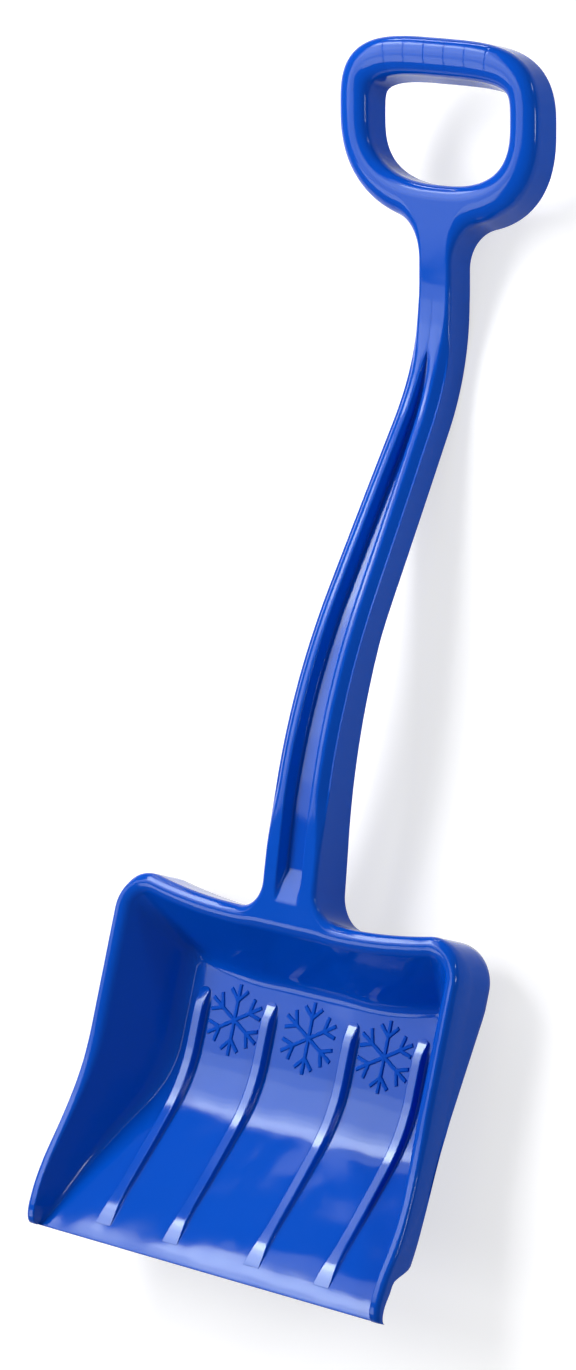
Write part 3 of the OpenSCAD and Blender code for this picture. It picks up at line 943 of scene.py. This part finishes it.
    def skirt_rings(self) -> Array:
        """Sections of the right skirt: over the roll's outer half, down, round the edge and up.

        Returns:
            Array of shape (stations, points, 3).
        """
        f = self.form
        _, _, cx, cs, nx, ns = columns(self.half_path)
        zc, soft = f.rim_z(cs), self.edge_round
        full = zc - f.skirt_low(cs)
        r = np.maximum(f.roll_at(cs), f.wall + soft)
        g = QUARTER * graded(14)[None, :]
        slope, back = self.back_roll(), ns * ns * ease((cx - f.root_x) / self.back_fade)
        across = mix(np.sin(g), slope[:, 0], back)
        fall = mix(1 - np.cos(g), slope[:, 1], back)
        grow = (1 - ns * ns) * ease((cs - self.side_roll_s) / self.side_roll_run)
        deep = r + (self.side_roll - r) * grow
        lean = (full - r) * f.lean_at(ns)
        out, down = flank(lean, deep, full - soft, f.wall, soft, (6, 9))
        out = f.land_at(cs) + joined(r * across, r + out, r - f.wall, 0 * r)
        down = joined(deep * fall, down, f.wall + 0 * r, f.wall + 0 * r)
        return placed(f, cx + nx * out, cs + ns * out, zc - down)

    def sheet_rings(self, path: Array, nose: float = 0.0) -> Array:
        """Sections of a floor sheet: across the top from right to left and back below.

        Each row starts at a station of the wall's foot. Behind the bend the rows fan out, so that
        their middles advance evenly to the back.

        Args:
            path: foot stations of the right half, from front to back.
            nose: length over which the front edge is rounded.

        Returns:
            Array of shape (stations, points, 3).
        """
        f = self.form
        x, s = columns(path)[:2]
        flat = path[:, 1] > f.bend_b + NEAR
        middle = path[:, 1].copy()
        even = np.arange(1, flat.sum() + 1) / max(1, flat.sum())
        middle[flat] = mix(f.bend_b, f.foot_back, even)
        v = row(1, -1, 25)
        at = mix(middle[:, None], s, np.abs(v))
        top, thick = f.floor_z(at), f.floor_t(at)
        if nose > 0:
            back = 1 - clamp01(at / nose)
            tip = 0.5 * thick * (1 - np.sqrt(1 - back ** 2 * self.blunt))
            top, thick = top - tip, thick - 2 * tip
        return joined(placed(f, x * v, at, top), placed(f, x * v, at, top - thick)[:, ::-1])

    def rib_rings(self, x: float) -> Array:
        """Sections of a floor rib: drafted sides, a fillet at the foot and rounded upper edges.

        The height is the soft minimum of straight limits, so that the rib rises slowly from its
        wide, squared end at the lip and slopes down to a low, rounded tip at the back.

        Args:
            x: place of the rib across the scoop.

        Returns:
            Array of shape (stations, points, 3).
        """
        f, tip = self.form, self.rib_tip
        a, b = f.lip_len - self.rib_start, f.foot_back - self.rib_gap
        s = np.concatenate([
            [a], runs((a, 1), (self.flare_s, 30), (b - self.back_len, 60), (b - tip, 24)),
            b - tip + tip * np.sin(np.linspace(0, QUARTER, 16)[1:])])
        u = clamp01((s - b + tip) / tip)
        limits = [self.rib_low + (s - a) * self.rib_rise,
                  self.rib_mid + np.maximum(0.0, s - self.rib_mid_s) * self.rib_mid_rise,
                  np.maximum(0.05, self.back_slope * (b - s + 1)), np.full_like(s, self.rib_h)]
        least = sum(v ** -self.rib_power for v in limits) ** (-1 / self.rib_power)
        close = np.sqrt(np.maximum(0.01, 1 - u * u))
        flare = self.flare * ease((self.flare_s - s) / self.flare_run)
        wide = (self.rib_w / 2 + flare - self.rib_taper * u * u) * close
        h, foot = (v[:, None] for v in (least * close, wide))
        top = foot - self.rib_draft * h / self.rib_h
        soft = np.minimum(self.rib_soft, h * 0.4)
        flat = np.maximum(0.1, top - soft)
        right = joined(
            bezier(pair(foot + 1.6 * soft, 0.0), pair(foot, 0.0),
                   pair(mix(foot, top, soft / h), soft), 7),
            bezier(pair(mix(foot, top, 1 - soft / h), h - soft), pair(top, h), pair(flat, h), 8),
            pair(0.96 * flat, h)[:, None], pair(0.5 * flat, h)[:, None])
        section = joined(right, right[:, ::-1] * FLIP)
        s = s[:, None]
        return placed(f, x + section[..., 0], s, f.floor_z(s) + section[..., 1])

    def flake_rings(self, x: float) -> Array:
        """Outlines of a six-armed snowflake at rising levels, each moved inwards at its corners.

        Args:
            x: place of the snowflake across the scoop.

        Returns:
            Array of shape (levels, points, 3).
        """
        f, w, r = self.form, self.flake_w, self.flake_r
        b, d = r * self.branch_at, math.sqrt(0.5)
        n, e = d * r * self.branch_len, d * w / 2
        half = np.array([
            [w / 2, w * math.sqrt(0.75)], [w / 2, b + w * (0.5 - d)], [n + e, b + n - e],
            [n - e, b + n + e], [w / 2, b + w * (0.5 + d)], [w / 2, r]])
        arm = np.concatenate([half, half[:0:-1] * FLIP])
        a = np.radians(60) * np.arange(6)
        cos, sin = np.cos(a), np.sin(a)
        turn = np.stack([points_of(cos, -sin), points_of(sin, cos)], axis=-2)
        line = np.einsum("kij,pj->kpi", turn, arm).reshape(-1, 2)
        after = np.roll(line, -1, axis=0) - line
        normal = points_of(after[:, 1], -after[:, 0]) / np.linalg.norm(after, axis=1)[:, None]
        before = np.roll(normal, 1, axis=0)
        mitre = (normal + before) / (1 + np.sum(normal * before, axis=1))[:, None]
        level = np.radians(np.linspace(0, self.flake_turn, 9))
        move = self.flake_soft * (np.cos(level) - 1) + self.flake_out
        outline = line[None] + mitre[None] * move[:, None, None]
        s = f.foot_back - r - self.flake_gap
        z = f.wall + self.flake_h * np.sin(level)[:, None]
        return placed(f, x + outline[..., 0], s + outline[..., 1], z)

    def build(self) -> list[bpy.types.Object]:
        """Makes all pieces of the scoop.

        Returns:
            The pieces.
        """
        path, seam = self.half_path, self.form.lip_len
        lip, rest = path[path[:, 1] <= seam + NEAR], path[path[:, 1] >= seam - NEAR]
        rib_x = (-self.rib_out / 2, -self.rib_in / 2, self.rib_in / 2, self.rib_out / 2)
        flake_x = (self.rib_out + self.rib_in) / 4
        skirt = self.skirt_rings()
        pieces = [moulded("scoop_floor", self.sheet_rings(rest), WAVY),
                  moulded("lip_edge", self.sheet_rings(lip, self.nose), WAVY),
                  moulded("scoop_wall", self.wall_rings())]
        for number, x in enumerate(rib_x, 1):
            pieces.append(moulded(f"floor_rib_{number}", self.rib_rings(x), RIBBED))
        for side in Side:
            rings = skirt if side is Side.RIGHT else mirrored(skirt)
            pieces.append(moulded("skirt_" + side.name.lower(), rings))
        flakes = {side.name.lower(): side.value * flake_x for side in Side} | {"middle": 0.0}
        for name, x in flakes.items():
            pieces.append(moulded("snowflake_" + name, self.flake_rings(x), EMBOSSED))
        return pieces


@dataclass
class Shaft:
    """The shaft: an open-backed channel with a groove in its front, and its flared root.

    Attributes:
        form: the shared curves.
        soft: rounding of the groove's edges.
        crown: slope to both sides at the edges of the front, which is slightly arched.
        bed: width of the groove's bed, as a share of the groove's.
        edge_round: height of the rounding on the lower edges.
        roof_in, roof_low: how much farther in and down the hollow's corners are at sloped edges.
    """

    form: ShovelForm
    soft: float = 0.9
    crown: float = 0.2
    bed: float = 0.8
    edge_round: float = 0.4
    roof_in: float = 0.8
    roof_low: float = 1.9

    def stations(self, s: Array) -> Array:
        """Straight stations.

        Args:
            s: distances from the lip.

        Returns:
            Rows of outer x, outer s, inner s, outward x, outward s, edge width and edge drop.
        """
        f, k = self.form, self.form.edge_k(s)
        return points_of(f.shaft_x(s), s, s, 1.0, 0.0, mix(f.edge_r, f.edge_w, k),
                         mix(f.edge_r, f.edge_d, k))

    def root_stations(self, q: Array) -> Array:
        """Stations round the root's fillet, an arc of a right angle.

        Args:
            q: shares of the arc, from 0 at the rim to 1 at the shaft.

        Returns:
            Rows as in stations.
        """
        f = self.form
        r = mix(f.roll_r, f.edge_r, q)
        sin, cos = np.sin(QUARTER * q), np.cos(QUARTER * q)
        return points_of(f.root_x - f.root_r * sin, f.flare_s - f.root_r * cos,
                         f.flare_s - (f.root_r + r) * cos, sin, cos, r, r)

    def edge(self, k: Array) -> tuple[Array, Array]:
        """Front edge from the front to the side, as shares of its width and drop.

        Where k is 0 it is a quarter of an ellipse, where k is 1 a straight slope with a soft start
        and a narrow level land at its end, which catches the light as a thin line.

        Args:
            k: how far the edge is sloped, one value for each station.

        Returns:
            Shares of the width and of the drop, each of shape (stations, points).
        """
        turn = QUARTER * graded(8)
        soft = np.array([[0.0, 0.0], [0.14, 0.0], [0.26, 0.17]])
        hollow = np.array([[0.76, 0.88], [0.80, 0.945], [0.84, 0.945]])
        crease = np.array([[0.965, 0.95], [1.0, 0.95], [1.0, 1.0]])
        line = np.concatenate([bezier(*soft, 5), bezier(*hollow, 4), bezier(*crease, 4)])
        arc = points_of(np.sin(turn), 1 - np.cos(turn))
        share = mix(arc[None], line[None], k[:, None, None])
        return share[..., 0], share[..., 1]

    def groove_section(self, g: Array, v: Array, soft: Array) -> Array:
        """Right half of the groove, from its bed over two rounded corners to the front.

        Args:
            g: half widths of the groove.
            v: its depths.
            soft: roundings of its edges.

        Returns:
            Distances from the middle and depths, of shape (stations, points, 2).
        """
        bed = self.bed * g
        lean = soft * (1 - self.bed) * g / np.maximum(v, self.form.groove_d_least)
        start = np.maximum(0.02, bed - soft)
        low = bezier(pair(start, v), pair(bed, v), pair(bed + lean, v - soft), 6)
        top = bezier(pair(g - lean, soft), pair(g, 0.0), pair(g + soft, 0.0), 7)
        return joined(low, top)

    def rings(self, stations: Array) -> Array:
        """Sections of the channel: groove, front, edge, side and lower edge, then the hollow.

        Args:
            stations: rows as stations gives them.

        Returns:
            Array of shape (stations, points, 3), right half first and its mirror image after it.
        """
        f = self.form
        ox, os_, s, nx, ns, wide, drop = columns(stations)
        z, d, k = f.front_z(s), f.depth(s), f.edge_k(s)
        g, v = f.groove(s)
        ix, is_ = ox - nx * wide, os_ - ns * wide
        soft = np.minimum(self.soft, 0.45 * v)
        groove = self.groove_section(g, v, soft)
        front = row(0, 1, 9)[:, 1:-1]
        swell = self.crown * k * np.maximum(0.0, ix - g - soft)
        across, fall = self.edge(k[:, 0])
        lean = (d - drop) * f.lean_at(ns)
        out, down = flank(lean, drop, d - self.edge_round, f.wall, self.edge_round)
        out, down = joined(wide * (across - 1), out), joined(drop * fall, down)
        roof = np.maximum(wide, f.wall + 0.3) + self.roof_in * k
        x = joined(groove[..., 0], mix(g + soft, ix, front), ox + nx * out, ox - nx * f.wall,
                   ox - nx * roof, g + f.wall * 0.75, self.bed * g + f.wall * 0.65)
        along = joined(s + 0 * groove[..., 0], mix(s, is_, front), os_ + ns * out,
                       os_ - ns * f.wall, os_ - ns * roof, s, s)
        up = joined(z - groove[..., 1], z + swell * front * (1 - front), z - down,
                    z - f.wall - self.roof_low * k, z - f.wall, z - f.wall, z - v - f.wall)
        right = placed(f, x, along, up)
        return joined(right, mirrored(right))

    def build(self) -> list[bpy.types.Object]:
        """Makes the root and the channel.

        Returns:
            The pieces.
        """
        f = self.form
        after = self.stations(np.linspace(f.flare_s, f.join_s, 18)[1:])
        root = np.concatenate([self.root_stations(graded(24)), after])
        run = self.stations(mix(f.join_s, f.neck_s, graded(150)))
        return [moulded("shaft_root", self.rings(root)), moulded("shaft_channel", self.rings(run))]


@dataclass
class Grip:
    """The ring grip: an arched bar, open behind, bent into a ring, and the neck that carries it.

    Attributes:
        form: the shared curves.
        top_power, low_power: powers of the ring's upper and lower half, 2 being an ellipse.
        arch_power: the same for the bar's section.
        edge_round: height of the rounding on the lower edges.
        clear: distance from the middle beyond which the neck's fillet looks for the ring.
        webs, web_gap: number and spacing of the cross webs in the top bar.
        sink, sink_w: depth and width of the faint sink line over each web.
        sink_low: depth on the bar down to which the sink lines go.
        sink_from: share of the upper half's height above which there are sink lines.
    """

    form: ShovelForm
    top_power: float = 3.6
    low_power: float = 2.5
    arch_power: float = 2.3
    edge_round: float = 0.4
    clear: float = 5.0
    webs: int = 6
    web_gap: float = 13.685
    sink: float = 0.1
    sink_w: float = 0.3
    sink_low: float = 6.0
    sink_from: float = 0.9

    def centre(self, a: Array) -> Array:
        """Crest line of the ring, two half superellipses.

        Args:
            a: angles in degrees.

        Returns:
            Rows of x and s.
        """
        f = self.form
        cos, sin = np.cos(np.radians(a)), np.sin(np.radians(a))
        e = np.where(sin >= 0, 2 / self.top_power, 2 / self.low_power)
        h = np.where(sin >= 0, f.ring_up, f.grip_h - f.ring_up)
        return points_of(f.grip_w / 2 * np.sign(cos) * np.abs(cos) ** e,
                         f.ring_mid + h * np.sign(sin) * np.abs(sin) ** e)

    @cached_property
    def line(self) -> Array:
        """Crest line at even steps from the right side upwards, closer over the webs.

        Returns:
            Rows of x, s, outward x and outward s.
        """
        dense = self.centre(np.linspace(0, 360, 7201))
        walk = np.concatenate([[0], np.cumsum(np.linalg.norm(np.diff(dense, axis=0), axis=1))])
        even = np.linspace(0, walk[-1], 241)[:-1]
        middles = self.web_gap * (np.arange(self.webs) - (self.webs - 1) / 2)
        x = (middles[:, None] + np.array([-0.9, -0.5, -0.25, 0, 0.25, 0.5, 0.9])).ravel()
        top = slice(900, 2700)
        webs = np.interp(-x, -dense[top, 0], walk[top])
        at = np.unique(np.round(np.concatenate([even, webs]), 3))
        step = 0.8
        point, ahead, behind = (
            points_of(*(np.interp(w, walk, dense[:, k]) for k in (0, 1)))
            for w in (at, (at + step) % walk[-1], (at - step) % walk[-1]))
        d = (ahead - behind) / np.linalg.norm(ahead - behind, axis=1)[:, None]
        return joined(point, d[:, 1:], -d[:, :1])

    def section(self) -> Array:
        """Section of the bar, an arch on drafted sides.

        Returns:
            Rows of distance out from the crest and of depth, outside first and the hollow after.
        """
        f, soft = self.form, self.edge_round
        spread, low = f.bar_w - f.arch_w, f.grip_d - soft
        out, down = flank(spread, f.arch_d, low, f.wall, soft, (6, 6))
        side = points_of(f.arch_w + out, down)[0, ::-1]
        across, fall = arch(QUARTER * np.linspace(1, 0, 22), self.arch_power)
        right = np.concatenate([side, points_of(f.arch_w * across, f.arch_d * fall)])
        inner = QUARTER * np.linspace(0, 1, 10)
        hollow = points_of((f.arch_w - f.wall) * np.sin(inner),
                           f.arch_d - (f.arch_d - f.wall) * np.cos(inner))
        return np.concatenate([right, right[-2::-1] * FLIP, hollow[:0:-1] * FLIP, hollow])

    def ring_rings(self) -> Array:
        """Sections of the ring, each square to the crest line and sheared along the grip's slope.

        Returns:
            Array of shape (stations, points, 3).
        """
        f = self.form
        out, down = self.section().T[:, None, :]
        x, s, nx, ns = columns(self.line)
        at = x / self.web_gap - 0.5
        web = (at - np.round(at)) * self.web_gap
        high = s > f.ring_mid + f.ring_up * self.sink_from
        over = high & (np.abs(x) < self.webs / 2 * self.web_gap) & (down < self.sink_low)
        dent = self.sink * np.exp(-(web / self.sink_w) ** 2) * over
        ss = s + ns * out
        return placed(f, x + nx * out, ss, f.front_z(ss) - down - dent)

    @cached_property
    def fillet(self) -> Triple:
        """The neck's fillet, an arc that touches the shaft's side and the ring.

        Returns:
            Centre x, centre s and end angle in degrees.
        """
        f = self.form
        cx = float(f.shaft_x(np.array(f.neck_s))) + f.neck_r
        low = self.line[(self.line[:, 0] > self.clear) & (self.line[:, 1] < f.ring_mid)]
        middle = low[:, :2] + low[:, 2:] * (f.neck_r + f.arch_w)
        order = np.argsort(middle[:, 0])
        s0 = float(np.interp(cx, middle[order, 0], middle[order, 1]))
        nx = float(np.interp(cx, middle[order, 0], low[order, 2]))
        return cx, s0, 90 - math.degrees(math.asin(nx))

    def neck_rings(self) -> Array:
        """Sections of the neck: up the shaft, then fanning out along the fillet into the ring.

        The edge grows from the shaft's small rounding at the fillet's start to the ring's own arch
        at its end, where both surfaces touch. Rows of the front bend until they lie on the ring's
        crest, and a last one is sunk into the ring there, so that the end face is hidden.

        Returns:
            Array of shape (stations, points, 3), right half first and its mirror image after it.
        """
        f, soft = self.form, self.edge_round
        cx, s0, end = self.fillet
        straight = np.linspace(f.neck_s, s0, 14)[:-1]
        a = np.concatenate([0 * straight, np.radians(end * graded(30))])[:, None]
        k, nx, ns = a / a[-1], np.cos(a), -np.sin(a)
        ox, os_ = cx - f.neck_r * nx, s0 - f.neck_r * ns
        os_[:len(straight), 0] = straight
        grow = ease(k)
        wide, deep = mix(f.edge_r, f.arch_w, grow), mix(f.edge_r, f.arch_d, grow)
        low = mix(f.shaft_d, f.grip_d, grow) - soft
        spread = mix((f.shaft_d - f.edge_r) * f.lean, f.bar_w - f.arch_w, grow)
        bx, bs = ox - nx * wide, os_ - ns * wide
        crest = self.line[self.line[:, 1] < f.ring_mid]
        crest = crest[np.argsort(crest[:, 0])]
        v = row(0.03, 1, 12)[:, :-1]
        at, middle = (np.interp(u * bx[-1], crest[:, 0], crest[:, 1]) for u in (v, 1.0))
        turn = QUARTER * graded(12)[None, :]
        across, fall = arch(turn, mix(2.0, self.arch_power, grow))
        out, down = flank(spread, deep, low, f.wall, soft)
        out, down = joined(wide * (across - 1), out), joined(deep * fall, down)
        under = f.wall + 0 * bx
        x = joined(v * bx, ox + nx * out, ox - nx * f.wall, bx - nx * 0.4, bx * 0.5, bx * 0.02)
        s = joined(bs + k ** 2 * (at - middle), os_ + ns * out, os_ - ns * f.wall, bs, bs, bs)
        q = joined(0 * v * bx, down, deep + 0.6, under, under, under)
        right = placed(f, x, s, f.front_z(s) - q)
        sunk = right[-1:].copy()
        sunk[..., 2] -= clamp01(1 - q[-1:] / f.arch_d)
        right = np.concatenate([right, sunk])
        return joined(right, mirrored(right))

    def build(self) -> list[bpy.types.Object]:
        """Makes the ring and the neck.

        Returns:
            The pieces.
        """
        return [moulded("grip_ring", self.ring_rings(), closed=True),
                moulded("grip_neck", self.neck_rings())]


@dataclass(frozen=True)
class SoftBox:
    """A rectangular studio lamp.

    Attributes:
        name: name of the lamp.
        place: its middle, in metres.
        aim: the point that it faces.
        size: its width along the level direction and across it, in metres.
        radiance: its brightness, 1 being white.
    """

    name: str
    place: Triple
    aim: Triple
    size: tuple[float, float]
    radiance: float

    def build(self) -> bpy.types.Object:
        """Makes the lamp.

        Returns:
            The lamp's object.
        """
        data = bpy.data.lights.new(self.name, "AREA")
        data.shape = "RECTANGLE"
        data.size, data.size_y = self.size
        data.energy = self.radiance * math.pi * self.size[0] * self.size[1]
        lamp = bpy.data.objects.new(self.name, data)
        back = (Vector(self.place) - Vector(self.aim)).normalized()
        level = Vector((0.0, 1.0, 0.0)) - back * back.y
        level.normalize()
        turn = Matrix((level, back.cross(level), back)).transposed().to_4x4()
        lamp.matrix_world = Matrix.Translation(self.place) @ turn
        lamp.visible_camera = False
        bpy.context.scene.collection.objects.link(lamp)
        return lamp


def key_panel(name: str, along: float, across: float, size: tuple[float, float], radiance: float,
              away: float = 1.5) -> SoftBox:
    """A soft box on a slanting plane up to the left of the shovel.

    Args:
        name: name of the lamp.
        along: place of its middle along y, in metres.
        across: place of its middle down the plane.
        size: its width along y and down the plane.
        radiance: its brightness, 1 being white.
        away: distance of the plane.

    Returns:
        The lamp, which faces square down from the plane.
    """
    facing, down = Vector((0.64, 0.0, -0.768)), Vector((-0.768, 0.0, -0.64))
    place = facing * -away + down * across + Vector((0.0, along, 0.0))
    return SoftBox(name, tuple(place), tuple(place + facing), size, radiance)


def plain_lamps() -> list[SoftBox]:
    """The studio's lamps: a key light in panels, brightest at its far end, and small helpers.

    Panels in one plane would hide each other in a mirror image, so each is a little nearer.

    Returns:
        The soft boxes.
    """
    return [
        key_panel("key_wide", 0.29, -0.09, (1.37, 0.72), 3.6),
        key_panel("key_middle", 0.26, -0.05, (1.00, 0.56), 2.3, away=1.49),
        key_panel("key_inner", 0.33, -0.05, (0.74, 0.46), 2.0, away=1.48),
        key_panel("key_soft", 0.57, 0.0, (0.38, 0.52), 3.0, away=1.47),
        key_panel("key_bright", 0.61, 0.0, (0.28, 0.50), 4.5, away=1.46),
        key_panel("key_core", 0.64, 0.0, (0.18, 0.48), 7.0, away=1.45),
        key_panel("grip_panel", -1.70, 0.30, (1.20, 1.20), 6.0, away=3.0),
        SoftBox("back_strip", (-0.70, 1.15, 0.50), (0.0, 0.10, 0.03), (0.60, 0.06), 45.0),
        SoftBox("side_strip", (0.85, 0.05, 0.42), (0.0, 0.0, 0.03), (0.20, 0.09), 24.0),
        SoftBox("far_strip", (0.85, 0.62, 0.42), (0.0, 0.10, 0.03), (0.20, 0.09), 24.0)]


@dataclass
class Studio:
    """Pale floor, soft lamps and the camera.

    Attributes:
        turn: how far the camera stands to the right of straight above, in degrees.
        roll: turn of the picture, in degrees.
        tip: turn about the shovel's width, in degrees.
        pivot: the point that the tip turns about, in metres.
        behind: step from the pivot back to the camera's aim, in metres.
        shift: place of the aim in the camera's own right and up directions, in metres.
        distance: distance from the aim, in metres.
        focal: focal length in pixels of a picture of the given height.
        picture: height of that picture in pixels.
        sensor: height of the camera's sensor, in millimetres.
        reach: distance, in metres, up to which the camera sees.
        floor_half, floor_z: half width and height of the floor, in metres.
        floor_colour: the floor's colour.
        floor_white: the floor's own light towards the camera.
        fill, fill_colour: brightness and colour of the world.
        lamps: the soft boxes.
    """

    turn: float = 39.015
    roll: float = 10.795
    tip: float = 0.75
    pivot: Triple = (0.0, -0.179, 0.026)
    behind: Triple = (0.0, 0.105, -0.010)
    shift: tuple[float, float] = (-0.02469, -0.26482)
    distance: float = 2.67245
    focal: float = 5050.6
    picture: float = 1370.0
    sensor: float = 36.0
    reach: float = 50.0
    floor_half: float = 20.0
    floor_z: float = -0.0006
    floor_colour: Triple = (0.54, 0.54, 0.55)
    floor_white: float = 0.6
    fill: float = 0.27
    fill_colour: Triple = (0.97, 0.98, 1.0)
    lamps: list[SoftBox] = field(default_factory=plain_lamps)

    def camera(self) -> bpy.types.Object:
        """Stands the camera where the picture was taken from.

        Returns:
            The camera.
        """
        turn, roll, tip = (math.radians(v) for v in (self.turn, self.roll, self.tip))
        right = Vector((math.cos(turn), 0.0, -math.sin(turn)))
        up, back = Vector((0.0, 1.0, 0.0)), Vector((math.sin(turn), 0.0, math.cos(turn)))
        r = right * math.cos(roll) + up * math.sin(roll)
        u = up * math.cos(roll) - right * math.sin(roll)
        centre = r * -self.shift[0] + u * -self.shift[1] + back * self.distance
        base = Matrix((r, u, back)).transposed().to_4x4()
        base.translation = centre - Vector(self.behind)
        data = bpy.data.cameras.new("camera")
        data.sensor_fit = "VERTICAL"
        data.sensor_height = self.sensor
        data.lens = self.sensor * self.focal / self.picture
        data.clip_end = self.reach
        camera = bpy.data.objects.new("camera", data)
        lean = Matrix.Rotation(tip, 4, "X")
        camera.matrix_world = Matrix.Translation(self.pivot) @ lean @ base
        bpy.context.scene.collection.objects.link(camera)
        bpy.context.scene.camera = camera
        return camera

    def floor(self) -> bpy.types.Object:
        """Lays the pale floor, whose own light only lifts what the camera and mirrors see of it.

        Returns:
            The floor.
        """
        mesh = bpy.data.meshes.new("floor")
        x, y = self.floor_half * np.array([[-1, 1, 1, -1], [-1, -1, 1, 1]])
        mesh.from_pydata(points_of(x, y, self.floor_z).tolist(), [], [[0, 1, 2, 3]])
        material = bpy.data.materials.new("studio_floor")
        material.use_nodes = True
        nodes = Nodes(material.node_tree)
        diffuse = nodes.add("ShaderNodeBsdfDiffuse", {"Color": (*self.floor_colour, 1.0)})
        path = nodes.add("ShaderNodeLightPath")
        seen = nodes.add("ShaderNodeMath", operation="MAXIMUM", inputs={
            0: path.outputs["Is Camera Ray"], 1: path.outputs["Is Glossy Ray"]})
        level = nodes.add("ShaderNodeMath", operation="MULTIPLY", inputs={
            0: seen.outputs[0], 1: self.floor_white})
        glow = nodes.add("ShaderNodeEmission", {"Strength": level.outputs[0]})
        both = nodes.add("ShaderNodeAddShader", {0: diffuse.outputs[0], 1: glow.outputs[0]})
        nodes.add("ShaderNodeOutputMaterial", {"Surface": both.outputs[0]})
        mesh.materials.append(material)
        floor = bpy.data.objects.new("floor", mesh)
        bpy.context.scene.collection.objects.link(floor)
        return floor

    def world(self) -> None:
        """Fills the room with dim, even light."""
        world = bpy.data.worlds.new("studio")
        bpy.context.scene.world = world
        world.use_nodes = True
        nodes = Nodes(world.node_tree)
        back = nodes.add("ShaderNodeBackground", {
            "Color": (*self.fill_colour, 1.0), "Strength": self.fill})
        nodes.add("ShaderNodeOutputWorld", {"Surface": back.outputs[0]})

    def build(self) -> None:
        """Makes camera, lamps, floor and world."""
        bpy.context.scene.view_settings.view_transform = "Standard"
        self.camera()
        for lamp in self.lamps:
            lamp.build()
            LOG.info("%s", lamp.name)
        self.floor()
        self.world()


def dress_webs() -> None:
    """Gives the cross webs inside shaft and grip, which stay as built, the plastic's finish."""
    for name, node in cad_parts.items():
        if "_web_" in name:
            node.data.materials.clear()
            node.data.materials.append(GLOSS.material())
            LOG.info("%s: kept", name)


def main() -> None:
    """Builds the studio and the shovel, and gives the cross webs the plastic's finish."""
    logging.basicConfig(level=logging.INFO, format="%(name)s %(message)s")
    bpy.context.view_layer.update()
    form = ShovelForm()
    Studio().build()
    for part in (Scoop(form), Shaft(form), Grip(form)):
        LOG.info("%s: %d pieces", type(part).__name__, len(part.build()))
    dress_webs()


if __name__ == "__main__":
    main()
